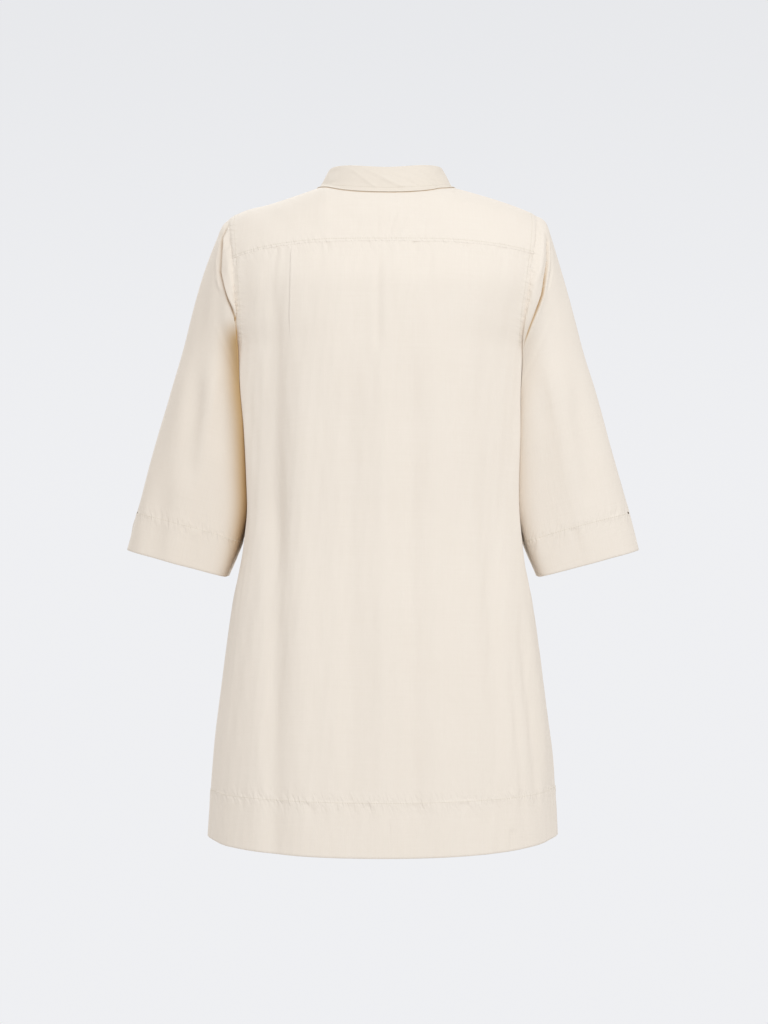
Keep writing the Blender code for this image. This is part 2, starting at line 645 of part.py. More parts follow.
def sleeve(side, carrier):
    """A tube from the armhole loop to the cuff, through the sections of SLEEVE."""
    columns = {name: curve_through(SLEEVE, "along", name) for name in SleeveStation._fields[1:]}
    hem_start = 1.0 - CUFF_HEM_DEPTH / SLEEVE_LENGTH
    shaft = np.linspace(0.0, 1.0, SLEEVE_ROWS + 1)[:-1] ** SLEEVE_ROW_EASE * hem_start
    along = np.concatenate([shaft, np.linspace(hem_start, 1.0, CUFF_ROWS + 1)])[:, None]
    start, angle = armhole_loop(side)

    def ring(at):
        outer = columns["outer"](at)
        if side > 0:
            fading = 1.0 - smooth(at / RIGHT_CAP_END)
            outer = outer + RIGHT_CAP_FULLNESS * smooth(at / SLEEVE_CLEAR_SHARE) * fading
        inner = columns["inner"](at)
        top, bottom = columns["outer_height"](at), columns["inner_height"](at)
        across = (outer + inner) / 2.0 + (outer - inner) / 2.0 * np.cos(angle)
        height = (top + bottom) / 2.0 + (top - bottom) / 2.0 * np.cos(angle)
        forward = columns["forward"](at) - columns["half_depth"](at) * np.sin(angle)
        return np.stack([side * across, forward, height], axis=-1)

    fade = 1.0 - smooth(along / ARMHOLE_BLEND)
    points = ring(along) + (start[None] - ring(np.zeros((1, 1)))) * fade[..., None]
    outward = grid_normals(points, closed=True) * side
    points = points + outward * (sleeve_fold(side, angle, along) * (1.0 - fade))[..., None]
    gap = ARMHOLE_GAP + (SLEEVE_CLEARANCE - ARMHOLE_GAP) * smooth(along / SLEEVE_CLEAR_SHARE)
    points[1:] = pushed_clear(points[1:], carrier, gap[1:])
    outward = grid_normals(points, closed=True) * side
    thickness = panel_thickness(len(along), CUFF_ROWS)
    name = "sleeve_right" if side > 0 else "sleeve_left"
    return wall(name, points, outward, thickness, closed=True)


# ---------------------------------------------------------------- collar
def neck_seam(angle):
    """A point of the neck seam, by the angle round the neck from centre back in radians."""
    across = NECK_HALF_WIDTH * np.sin(angle)
    rear = np.cos(angle) >= 0.0
    height = np.where(rear, neck_height(across, False), neck_height(across, True))
    body_angle = np.arcsin(np.clip(across / half_width_at(height), -1.0, 1.0))
    return torso(np.where(rear, body_angle, math.pi - body_angle), height)


def neck_out(angle):
    """Level direction away from the neck."""
    return np.stack([np.sin(angle), -np.cos(angle), np.zeros_like(angle)], axis=-1)


def stand_grid(angle, rows):
    """Outer side of the stand: square to the neck seam, leaning in, its right end lapped over."""
    along = neck_seam(angle + NECK_STEP) - neck_seam(angle - NECK_STEP)
    rise = unit(np.cross(neck_out(angle), along))
    over = smooth((np.degrees(angle) - STAND_LAP_START) / STAND_LAP_SPAN)
    lap = STAND_LAP * over - STAND_INSET
    level = np.linspace(0.0, 1.0, rows + 1)[:, None, None]
    inward = (np.array([COLLAR_SHIFT, 0.0, 0.0]) - neck_out(angle) * STAND_LEAN) * level
    lift = STAND_SEAM_GAP + STAND_LAP_GAP * over
    base = neck_seam(angle) + rise * lift[:, None] + neck_out(angle) * lap[:, None]
    return base + rise * STAND_HEIGHT * level + inward


def fall_angles():
    return np.linspace(-FALL_HALF_OPENING, FALL_HALF_OPENING, COLLAR_COLUMNS + 1)


def collar_stand():
    """The stand keeps the fall's columns and adds the two lapped ends."""
    reach = 180.0 + STAND_OVERLAP_ANGLE / 2.0
    ends = np.array([(FALL_HALF_OPENING + reach) / 2.0, reach])
    angle = np.radians(np.concatenate([-ends[::-1], fall_angles(), ends]))
    points = stand_grid(angle, 2)
    return wall("collar_stand", points, grid_normals(points), CLOTH)


def collar_fall(carrier):
    """The turned-down leaf: over the top of the stand, then down and out to its free edge."""
    degrees = fall_angles()
    angle = np.radians(degrees)
    stand = stand_grid(angle, 1)
    top, out = stand[1], grid_normals(stand)[1]
    rise = unit(stand[1] - stand[0])
    lift = CLOTH + SEAM_GAP
    columns = [curve_through(FALL_EDGE, "angle", name)(np.abs(degrees)) for name in FallPoint._fields[1:]]
    edge = np.stack(columns, axis=-1)
    edge[:, 0] = edge[:, 0] * np.sign(angle) + COLLAR_SHIFT
    crown = top + out * (FALL_ROLL / 2.0) + rise * (lift + FALL_ROLL_RISE)
    rows = [top - out * CLOTH + rise * lift, crown]
    shoulder = top + out * FALL_ROLL_OUT - rise * FALL_ROLL_DROP
    for step in np.linspace(0.0, 1.0, FALL_ROWS + 1):
        rows.append(shoulder + (edge - shoulder) * step + out * FALL_BOW * math.sin(math.pi * step))
    points = np.stack(rows)
    points[len(rows) - FALL_ROWS:] = pushed_clear(points[-FALL_ROWS:], carrier, FALL_CLEARANCE + CLOTH)
    return wall("collar_fall", points, -grid_normals(points), CLOTH)


# ---------------------------------------------------------------- front closing
def placket():
    """A strip down the front, from the neck seam, on the panel's own rows and one seam gap off it."""
    across = np.linspace(-PLACKET_WIDTH / 2.0, PLACKET_WIDTH / 2.0, PLACKET_COLUMNS)[None, :]
    levels = front_levels(across / SHOULDER_HALF_WIDTH)
    rows = levels[levels[:, 0] > PLACKET_BOTTOM + PLACKET_TOP_GAP]
    rows[0] -= PLACKET_TOP_GAP
    height = np.concatenate([rows, np.full_like(across, PLACKET_BOTTOM)])
    angle = math.pi - np.arcsin(across / half_width_at(height))
    normals = torso_normal(angle, height)
    points = seam_shift(torso(angle, height), True) + normals * (CLOTH + PLACKET_LIFT)
    return wall("placket", points, normals, CLOTH)


def button(name, centre, out):
    """A turned button with a shallow dish, its back on the cloth."""
    profile = ((DISH, DISH), (DISH_RIM, 1.0), (RIM, 1.0), (1.0, SHOULDER_RISE), (UNDERSIDE, 0.0))
    bm = bmesh.new()
    rings = []
    for reach, rise in profile:
        ring = bmesh.ops.create_circle(
            bm, cap_ends=False, segments=BUTTON_SIDES, radius=BUTTON_RADIUS * reach,
            matrix=Matrix.Translation((0.0, 0.0, BUTTON_THICKNESS * rise)))["verts"]
        rings.append(ring)
    for inner, outer in zip(rings, rings[1:]):
        for i in range(BUTTON_SIDES):
            j = (i + 1) % BUTTON_SIDES
            bm.faces.new((inner[i], outer[i], outer[j], inner[j]))
    bm.faces.new(rings[0])
    bm.faces.new(rings[-1][::-1])
    bmesh.ops.recalc_face_normals(bm, faces=bm.faces)
    mesh = bpy.data.meshes.new(name)
    bm.to_mesh(mesh)
    bm.free()
    mesh.shade_smooth()
    mesh.set_sharp_from_angle(angle=math.radians(RIM_ANGLE))
    obj = add_object(name, mesh, CREAM, BUTTON_ROUGHNESS)
    obj.location = Vector(centre + out * SEAM_GAP)
    obj.rotation_euler = Vector(out).to_track_quat("Z", "Y").to_euler()
    return obj


def buttons():
    """One on the stand's lap, the others down the placket."""
    turn = math.pi + np.array([-NECK_STEP, 0.0, NECK_STEP])
    patch = stand_grid(turn, 2)
    out = grid_normals(patch)[1, 1]
    button("button_1", patch[1, 1] + out * SEAM_GAP, out)
    last = PLACKET_BOTTOM + LAST_BUTTON_RISE
    for i in range(BUTTON_COUNT):
        height = np.array(last + BUTTON_PITCH * (BUTTON_COUNT - 1 - i))
        angle = np.array(math.pi)
        out = torso_normal(angle, height)
        centre = seam_shift(torso(angle, height), True) + out * (CLOTH + PLACKET_LIFT)
        button(f"button_{i + 2}", centre, out)


def clear_scene():
    for obj in list(bpy.data.objects):
        bpy.data.objects.remove(obj, do_unlink=True)


def main():
    clear_scene()
    yoke()
    back()
    front()
    carrier = torso_samples()
    for side in (-1, 1):
        sleeve(side, carrier)
    collar_stand()
    collar_fall(carrier)
    placket()
    buttons()


main()
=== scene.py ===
"""Dresses the tunic top: woven cotton panels with their folds, puckers, turned hems, stitches and buttons.

Metres, in the part's own frame: +X is the wearer's right, +Y the wearer's front and +Z up, and the
origin is the middle of the neck at shoulder height. The body is a ring of sections closed above by
rounded shoulders, a panel is a fine grid on that ring, and a sleeve is a tube from the armhole to the
cuff. Each grid gets a second side, so that every piece of cloth is a closed thin wall.
"""

import logging
import math
from dataclasses import dataclass, replace
from enum import Enum
from typing import Any, Callable, NamedTuple, Sequence

import bpy
import numpy as np
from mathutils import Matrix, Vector


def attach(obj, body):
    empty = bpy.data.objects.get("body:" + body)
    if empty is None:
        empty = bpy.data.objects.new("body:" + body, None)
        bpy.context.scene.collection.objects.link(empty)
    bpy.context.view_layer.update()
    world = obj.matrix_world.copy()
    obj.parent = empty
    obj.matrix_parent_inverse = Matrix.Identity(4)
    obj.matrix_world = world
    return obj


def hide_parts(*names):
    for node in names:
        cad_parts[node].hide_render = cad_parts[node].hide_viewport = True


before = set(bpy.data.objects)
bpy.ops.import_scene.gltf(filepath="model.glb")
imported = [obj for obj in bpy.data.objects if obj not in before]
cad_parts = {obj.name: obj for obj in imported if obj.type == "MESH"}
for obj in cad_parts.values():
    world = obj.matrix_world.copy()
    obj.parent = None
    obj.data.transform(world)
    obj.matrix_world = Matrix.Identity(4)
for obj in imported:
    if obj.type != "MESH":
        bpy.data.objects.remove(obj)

Array = np.ndarray
LOG = logging.getLogger("tunic")
BODY = "root"

CLOTH = 0.0007                 # wall of one layer
HEM_CLOTH = 0.0016             # wall where a hem is turned up
LEAF_CLOTH = 0.0011            # wall of the collar's leaf and band, two layers
STEP = 1e-4                    # for slopes worked out by a small step, in metres or radians
NECK_STEP = 0.02               # for slopes along the neck seam, in radians
HALVINGS = 30
BATCH = 128                    # points settled on the shoulders at a time
BAND_WIDTH = 0.0085            # seam allowance beside an armhole: its width, lift and rounding
BAND_LIFT = 0.00022
BAND_SOFT = 0.0010
HEM_EDGE = 0.0008              # half the stretch over which the wall thickens into a hem


class Side(Enum):
    """The wearer's left and right, as the sign of X."""

    LEFT = -1
    RIGHT = 1


class Half(Enum):
    """The back half and the front half of the body."""

    BACK = "back"
    FRONT = "front"


# ---------------------------------------------------------------- tables of the form
def table(kind: type, *rows: Sequence[Any]) -> tuple[Any, ...]:
    """Rows of numbers as named rows of one kind."""
    return tuple(kind(*row) for row in rows)


class Section(NamedTuple):
    """One level of the torso: half its width, and its depth behind and before the side seams."""

    height: float
    half_width: float
    back: float
    front: float


SECTIONS = table(
    Section,
    (-0.83, 0.218, 0.152, 0.15),
    (-0.7, 0.2102, 0.143, 0.143),
    (-0.6, 0.1985, 0.136, 0.137),
    (-0.517, 0.1865, 0.129, 0.131),
    (-0.445, 0.1735, 0.122, 0.127),
    (-0.385, 0.169, 0.119, 0.125),
    (-0.3, 0.1725, 0.119, 0.127),
    (-0.235, 0.1765, 0.121, 0.128),
    (-0.2, 0.18, 0.122, 0.124),
    (-0.165, 0.192, 0.122, 0.113),
    (-0.12, 0.205, 0.121, 0.092),
    (-0.08, 0.211, 0.116, 0.068),
    (-0.04, 0.214, 0.107, 0.052),
    (0.01, 0.215, 0.098, 0.044),
)


class ArmholePoint(NamedTuple):
    """How far out the armhole edge lies at a height."""

    height: float
    reach: float


ARMHOLE = table(
    ArmholePoint,
    (-0.2, 0.18),
    (-0.165, 0.18),
    (-0.085, 0.185),
    (-0.037, 0.1895),
    (0.01, 0.1895),
)


class SideShape(NamedTuple):
    """How much further in each side hangs, and how crisply the back turns in there."""

    height: float
    trim_left: float
    trim_right: float
    crisp_left: float
    crisp_right: float


SIDES = table(
    SideShape,
    (-0.83, 0.0, 0.0004, 0.1, 0.15),
    (-0.7, 0.0, 0.0006, 0.15, 0.2),
    (-0.6, 0.0, 0.0018, 0.25, 0.35),
    (-0.51, 0.0, 0.0016, 0.45, 0.65),
    (-0.45, 0.0006, 0.0014, 0.65, 0.9),
    (-0.4, 0.0018, 0.0022, 0.8, 1.0),
    (-0.36, 0.0014, 0.0026, 0.9, 1.0),
    (-0.3, 0.0019, 0.0042, 1.0, 1.0),
    (-0.25, 0.0004, 0.0064, 1.0, 1.0),
    (-0.22, 0.0012, 0.0072, 1.0, 1.0),
    (-0.195, 0.0024, 0.008, 1.0, 1.0),
    (-0.165, 0.0002, 0.0066, 1.0, 1.0),
    (-0.13, 0.0004, 0.0034, 0.8, 0.8),
    (-0.08, 0.0, 0.0, 0.0, 0.0),
)


class ShoulderPoint(NamedTuple):
    """The shoulder line, left to right: its height, and the rounding behind it, its height and power."""

    across: float
    height: float
    round_height: float
    power: float


SHOULDER = table(
    ShoulderPoint,
    (-0.216, -0.056, 0.055, 2.2),
    (-0.1895, -0.0341, 0.065, 2.2),
    (-0.167, -0.0244, 0.075, 2.4),
    (-0.143, -0.019, 0.08, 2.6),
    (-0.107, -0.008, 0.09, 2.9),
    (-0.085, -0.001, 0.095, 3.2),
    (-0.068, 0.0036, 0.1, 3.6),
    (0.0, 0.007, 0.1, 3.8),
    (0.068, 0.0046, 0.1, 3.6),
    (0.087, 0.0012, 0.095, 3.2),
    (0.11, -0.0044, 0.09, 2.9),
    (0.143, -0.0136, 0.08, 2.6),
    (0.17, -0.0226, 0.075, 2.4),
    (0.1895, -0.0312, 0.065, 2.2),
    (0.216, -0.056, 0.055, 2.2),
)


class SleeveStation(NamedTuple):
    """One sleeve section: its outer and inner ends seen from behind, and half its depth."""

    along: float
    outer: float
    outer_height: float
    inner: float
    inner_height: float
    half_depth: float
    forward: float


SLEEVE = table(
    SleeveStation,
    (0.0, 0.1898, -0.0365, 0.1806, -0.2, 0.052, 0.002),
    (0.05, 0.201, -0.045, 0.1815, -0.213, 0.058, 0.003),
    (0.12, 0.209, -0.064, 0.1805, -0.233, 0.063, 0.004),
    (0.24, 0.2245, -0.11, 0.1785, -0.26, 0.067, 0.005),
    (0.38, 0.24, -0.164, 0.1755, -0.295, 0.068, 0.006),
    (0.56, 0.2612, -0.238, 0.1735, -0.34, 0.065, 0.008),
    (0.74, 0.2824, -0.313, 0.1722, -0.385, 0.061, 0.01),
    (0.88, 0.3015, -0.3805, 0.1788, -0.433, 0.057, 0.012),
    (1.0, 0.3192, -0.4475, 0.1945, -0.4808, 0.052, 0.013),
)


class Tuck(NamedTuple):
    """How much further in a sleeve's inner end lies, so that it hides behind the body's side."""

    along: float
    tuck: float


TUCKS = table(
    Tuck, (0.0, 0.0), (0.04, 0.006), (0.1, 0.0095), (0.24, 0.01), (0.38, 0.0095), (0.56, 0.0095),
    (0.74, 0.0085), (0.88, 0.0035), (1.0, 0.0))


class BodyFold(NamedTuple):
    """A soft fold down the torso. Angles are round the body from centre back, in degrees."""

    angle_top: float
    angle_bottom: float
    top: float
    bottom: float
    width: float
    depth: float


BODY_FOLDS = table(
    BodyFold,
    (141.0, 138.0, -0.23, -1.0, 0.02, -0.0045),
    (-143.0, -139.0, -0.23, -1.0, 0.02, -0.0042),
    (124.0, 119.0, -0.27, -1.0, 0.019, 0.0034),
    (-121.0, -118.0, -0.29, -1.0, 0.019, 0.0036),
    (163.0, 160.0, -0.38, -1.1, 0.021, 0.003),
    (-165.0, -161.0, -0.42, -1.1, 0.021, 0.0028),
)


class SleeveFold(NamedTuple):
    """A fold on a sleeve. Angles run from the outer edge over the back to the underarm."""

    side: Side
    start: float
    end: float
    start_angle: float
    end_angle: float
    width: float
    depth: float


SLEEVE_FOLDS = table(
    SleeveFold,
    (Side.LEFT, 0.14, 0.7, 112.0, 100.0, 0.014, -0.0022),
    (Side.LEFT, 0.2, 0.95, 90.0, 78.0, 0.015, 0.0024),
    (Side.LEFT, 0.45, 1.0, 66.0, 58.0, 0.015, -0.0026),
    (Side.RIGHT, 0.14, 0.6, 110.0, 100.0, 0.013, -0.0018),
    (Side.RIGHT, 0.16, 0.9, 88.0, 76.0, 0.015, 0.0022),
    (Side.RIGHT, 0.5, 1.0, 60.0, 64.0, 0.014, -0.0024),
    (Side.LEFT, 0.12, 0.7, 218.0, 248.0, 0.014, -0.004),
    (Side.RIGHT, 0.12, 0.75, 214.0, 250.0, 0.014, -0.0042),
)


class LeafPoint(NamedTuple):
    """The collar leaf's free edge, by the angle round the neck from centre back."""

    angle: float
    across: float
    forward: float
    height: float


LEAF_EDGE = table(
    LeafPoint,
    (0.0, 0.0, -0.079, -0.0069),
    (8.0, 0.0115, -0.0786, -0.0069),
    (30.0, 0.042, -0.072, -0.0068),
    (60.0, 0.0735, -0.045, -0.0094),
    (90.0, 0.0856, 0.001, -0.0022),
    (118.0, 0.083, 0.044, -0.017),
    (145.0, 0.074, 0.064, -0.055),
    (171.0, 0.056, 0.08, -0.098),
)


# ---------------------------------------------------------------- curves and noise
def smooth(value: Array | float) -> Array:
    """0 below 0, 1 above 1, and the smooth step 3t^2 - 2t^3 between."""
    value = np.clip(value, 0.0, 1.0)
    return value * value * (3.0 - 2.0 * value)


def bell(value: Array) -> Array:
    """exp(-value^2)."""
    return np.exp(-value * value)


def unit(vectors: Array) -> Array:
    """The vectors, each divided by its own length."""
    return vectors / np.maximum(np.linalg.norm(vectors, axis=-1, keepdims=True), 1e-12)


def run_along(points: Array, axis: int = 0) -> Array:
    """Distance along lines of points, from 0 at the first one."""
    steps = np.linalg.norm(np.diff(points, axis=axis), axis=-1)
    start = np.zeros_like(np.take(steps, [0], axis=axis))
    return np.concatenate([start, np.cumsum(steps, axis=axis)], axis=axis)


def read_line(values: Array, run: Array, at: Array) -> Array:
    """What a line of three-part values holds at distances along it, read between its points."""
    return np.stack([np.interp(at, run, values[:, i]) for i in range(3)], axis=-1)


def wrapped(grid: Array) -> Array:
    """The grid with its first column again at the end."""
    return np.concatenate([grid, grid[:, :1]], axis=1)


def off_turn(angle: Array, centre: Array | float) -> Array:
    """How far an angle lies from another, between minus and plus half a turn."""
    return (angle - centre + math.pi) % (2.0 * math.pi) - math.pi


class Through:
    """A smooth curve through one column of a table that never swings past a row."""

    def __init__(self, rows: Sequence[Any], key: str, value: str) -> None:
        """Sorts the rows and works out a slope at each: the harmonic mean of its neighbours' slopes.

        Args:
            rows: the table.
            key: the column that the curve is read by.
            value: the column that it gives.
        """
        ordered = sorted(rows, key=lambda row: getattr(row, key))
        self.keys = np.array([getattr(row, key) for row in ordered])
        self.values = np.array([getattr(row, value) for row in ordered])
        self.spans = np.diff(self.keys)
        slopes = np.diff(self.values) / self.spans
        same_way = slopes[:-1] * slopes[1:] > 0
        total = np.where(same_way, slopes[:-1] + slopes[1:], 1.0)
        inner = np.where(same_way, 2.0 * slopes[:-1] * slopes[1:] / total, 0.0)
        self.tangents = np.concatenate([slopes[:1], inner, slopes[-1:]])

    def __call__(self, at: Array | float) -> Array:
        """Reads the curve: a cubic between two rows that meets each at its slope.

        Args:
            at: keys, held inside the table.

        Returns:
            The values at those keys.
        """
        at = np.clip(at, self.keys[0], self.keys[-1])
        i = np.clip(np.searchsorted(self.keys, at) - 1, 0, len(self.spans) - 1)
        t = (at - self.keys[i]) / self.spans[i]
        ease = t * t * (3.0 - 2.0 * t)
        lean = (1.0 - t) * self.tangents[i] - t * self.tangents[i + 1]
        rise = t * (1.0 - t) * lean * self.spans[i]
        return self.values[i] * (1.0 - ease) + self.values[i + 1] * ease + rise


@dataclass(frozen=True)
class Swell:
    """Low, wandering swells of hanging cloth."""

    height: float
    across_length: float
    down_length: float
    seed: int
    waves: int = 9

    def __call__(self, across: Array, down: Array) -> Array:
        """The mean of plane waves, each with a random length, lean and phase.

        Args:
            across: distance along the cloth, sideways.
            down: distance along the cloth, downwards.

        Returns:
            How far the cloth stands out at each place.
        """
        random = np.random.default_rng(self.seed)
        total = np.zeros(np.broadcast(across, down).shape)
        for _ in range(self.waves):
            sideways, downwards = random.uniform(0.55, 1.6, 2)
            phase = random.uniform(0.0, 2.0 * math.pi)
            lean = random.choice([-1.0, 1.0])
            turn = across / (self.across_length * sideways) + lean * down / (self.down_length * downwards)
            total += np.sin(2.0 * math.pi * turn + phase)
        return total * self.height / math.sqrt(self.waves)


@dataclass(frozen=True)
class Puckers:
    """Short streaks that run away from a line of stitches, uneven in length, depth and spacing."""

    count: int
    reach: float
    width: float
    depth: float
    slant: float
    seed: int
    ease: float = 0.0035

    def __call__(self, along: Array, away: Array) -> Array:
        """The sum over streaks of depth * exp(-(sideways / width)^2) * exp(-(away / reach)^2).

        Args:
            along: distance along the stitches.
            away: distance from the stitches; streaks lie where it is positive.

        Returns:
            How far the cloth stands out at each place.
        """
        random = np.random.default_rng(self.seed)
        near = (away > 0.0) & (away < self.reach * 4.0)
        sideways, distance = along[near], away[near]
        total = np.zeros(sideways.shape)
        low, high = float(along.min()), float(along.max())
        for _ in range(self.count):
            place = random.uniform(low, high)
            reach = self.reach * random.uniform(0.35, 1.0) ** 1.5 * 1.7
            width = self.width * random.uniform(0.6, 1.5)
            depth = self.depth * random.uniform(0.3, 1.0) * random.choice([-1.0, -1.0, 1.0])
            slant = self.slant + random.normal(0.0, 0.14)
            off = (sideways - place - slant * distance) / (width * (1.0 + distance / (reach * 2.0)))
            total += depth * bell(off) * bell(distance / reach)
        result = np.zeros(along.shape)
        result[near] = total * smooth(distance / self.ease)
        return result


class Crease(NamedTuple):
    """A crease that runs mostly down a panel, through three places across. Negative depth is a trough."""

    top: float
    bottom: float
    across_top: float
    across_middle: float
    across_bottom: float
    width: float
    depth: float


def crease_depth(creases: Sequence[Crease], across: Array, height: Array) -> Array:
    """Sum over creases of depth * exp(-(off / width)^2), each fading in and out at its ends.

    Args:
        creases: the creases.
        across: how far across each place lies.
        height: its height.

    Returns:
        How far the cloth stands out at each place.
    """
    total = np.zeros(np.broadcast(across, height).shape)
    for crease in creases:
        share = np.clip((crease.top - height) / (crease.top - crease.bottom), 0.0, 1.0)
        first, middle, last = (1.0 - share) ** 2, 2.0 * share * (1.0 - share), share**2
        turn = 2.0 * crease.across_middle - (crease.across_top + crease.across_bottom) / 2.0
        centre = first * crease.across_top + middle * turn + last * crease.across_bottom
        ends = smooth(share * 4.0) * smooth((1.0 - share) * 4.0)
        total += crease.depth * bell((across - centre) / crease.width) * ends
    return total


class PathCrease(NamedTuple):
    """A crease on the back of a sleeve along a path seen from behind.

    One side of it may fall away gently and the other stand up as a lip, where one fold covers the next.
    """

    path: tuple[tuple[float, float], ...]
    width: float
    depth: float
    fall: float = 0.0
    reach: float = 0.009
    lip: float = 0.0
    lip_reach: float = 0.005
    toward: float = 1.0


def path_depth(creases: Sequence[PathCrease], across: Array, height: Array, side: float) -> Array:
    """Sum over creases of depth * exp(-(distance to the path / width)^2), fading at both ends.

    Args:
        creases: the creases.
        across: how far across each place lies.
        height: its height.
        side: -1 for the left sleeve, 1 for the right one.

    Returns:
        How far the cloth stands out at each place.
    """
    total = np.zeros(across.shape)
    for crease in creases:
        marks = np.array(crease.path)
        lengths = np.linalg.norm(np.diff(marks, axis=0), axis=1)
        starts = run_along(marks)
        best = np.full(across.shape, np.inf)
        along = np.zeros(across.shape)
        inner = np.zeros(across.shape)
        for begin, end, length, start in zip(marks, marks[1:], lengths, starts):
            run = (end - begin) / length
            t = np.clip((across - begin[0]) * run[0] + (height - begin[1]) * run[1], 0.0, length)
            off = np.hypot(across - begin[0] - run[0] * t, height - begin[1] - run[1] * t)
            turned = (across - begin[0]) * run[1] - (height - begin[1]) * run[0]
            closer = off < best
            best = np.where(closer, off, best)
            along = np.where(closer, start + t, along)
            inner = np.where(closer, np.sign(turned) * side * crease.toward, inner)
        share = along / starts[-1]
        ends = smooth(share * 6.0) * smooth((1.0 - share) * 6.0)
        over = smooth(0.5 + best * inner / 0.0012)
        gentle = crease.fall * bell(best / crease.reach) * (1.0 - over)
        lip = crease.lip * bell(best / crease.lip_reach) * over
        total += (crease.depth * bell(best / crease.width) + gentle + lip) * ends
    return total


def bottom_mark(crease: PathCrease) -> PathCrease:
    """The same path as a mark of depth one, for painting shade along its bottom."""
    return PathCrease(crease.path, crease.width * 1.05, 0.9)


def refined(points: Array, rows: int, columns: int) -> Array:
    """Catmull-Rom curves through a coarse grid, first down it and then across.

    Args:
        points: the coarse grid, rows by columns by 3.
        rows: how many rows the fine grid has.
        columns: how many columns it has.

    Returns:
        The fine grid, which passes through every coarse point.
    """
    for axis, count in ((0, rows), (1, columns)):
        values = np.moveaxis(points, axis, 0)
        last = len(values) - 1
        before, after = 2.0 * values[:1] - values[1:2], 2.0 * values[-1:] - values[-2:-1]
        held = np.concatenate([before, values, after])
        at = np.linspace(0.0, last, count)
        i = np.minimum(at.astype(int), last - 1)
        t = (at - i)[:, None, None]
        a, b, c, d = held[i], held[i + 1], held[i + 2], held[i + 3]
        values = b + 0.5 * t * (c - a + t * (2.0 * a - 5.0 * b + 4.0 * c - d + t * (3.0 * (b - c) + d - a)))
        points = np.moveaxis(values, 0, axis)
    return points


# ---------------------------------------------------------------- grids and meshes
@dataclass
class Patch:
    """A grid of points on the outer side of the cloth, rows by columns by 3.

    Distances down it start at the anchor row. The masks say where seams crinkle the cloth and where
    shade is painted into its colour, in folds and in shadows.
    """

    points: Array
    outward: float = 1.0
    closed: bool = False
    anchor: int = 0
    crinkle: Array | None = None
    deep: Array | None = None

    def normals(self) -> Array:
        """Directions square to the cloth: the cross product of the steps across and down."""
        if self.closed:
            across = np.roll(self.points, -1, axis=1) - np.roll(self.points, 1, axis=1)
        else:
            across = np.gradient(self.points, axis=1)
        return unit(np.cross(across, np.gradient(self.points, axis=0))) * self.outward

    def moved(self, depth: Array) -> "Patch":
        """The patch with each point moved out by its own depth along its normal."""
        return replace(self, points=self.points + self.normals() * depth[..., None])

    def across(self) -> Array:
        """Distance along each row, from its middle, or from the first column of a tube."""
        run = run_along(wrapped(self.points) if self.closed else self.points, axis=1)
        return run if self.closed else run - run[:, -1:] / 2.0

    def from_edge(self) -> Array:
        """Distance in from the nearer side edge."""
        across = self.across()
        return across[:, -1:] - np.abs(across)

    def down(self) -> Array:
        """Distance down each column from the anchor row."""
        run = run_along(self.points)
        run = run - run[self.anchor]
        return wrapped(run) if self.closed else run


class Strip(NamedTuple):
    """Faces of one kind, with the cloth's own coordinates at each of their corners."""

    faces: Array
    places: Array


FACING = (0, 1, 2, 3)          # corners of a cell, in the turning sense of its outer face
AWAY = (3, 2, 1, 0)            # the same, the other way round
TURNED = (0, 3, 2, 1)          # the other way round, from the first corner


def corners(grid: Array, order: tuple[int, ...]) -> Array:
    """The four corners of every cell of a grid, in the order given."""
    cells = (grid[:-1, :-1], grid[:-1, 1:], grid[1:, 1:], grid[1:, :-1])
    return np.stack([cells[i] for i in order], axis=2).reshape(-1, 4, *grid.shape[2:])


def numbered(rows: int, columns: int, closed: bool = True, first: int = 0) -> Array:
    """Numbers of a grid's points, row by row, its first column again at the end where it is closed."""
    index = np.arange(rows * columns).reshape(rows, columns) + first
    return wrapped(index) if closed else index


def rim_loops(rows: int, columns: int, closed: bool) -> list[Array]:
    """Rows and columns of the points round the edge, in the turning sense of the outer faces.

    Args:
        rows: rows of the grid.
        columns: columns of the grid.
        closed: True for a tube, which has two edges.

    Returns:
        One array of (row, column) for each edge, whose last entry closes it.
    """
    if closed:
        there = np.arange(columns + 1)
        return [
            np.stack([np.zeros_like(there), there], axis=1),
            np.stack([np.full_like(there, rows - 1), there[::-1]], axis=1),
        ]
    right, bottom = columns - 1, rows - 1
    top_side = [(0, c) for c in range(columns)]
    right_side = [(r, right) for r in range(1, rows)]
    bottom_side = [(bottom, c) for c in range(right - 1, -1, -1)]
    left_side = [(r, 0) for r in range(bottom - 1, -1, -1)]
    return [np.array(top_side + right_side + bottom_side + left_side)]


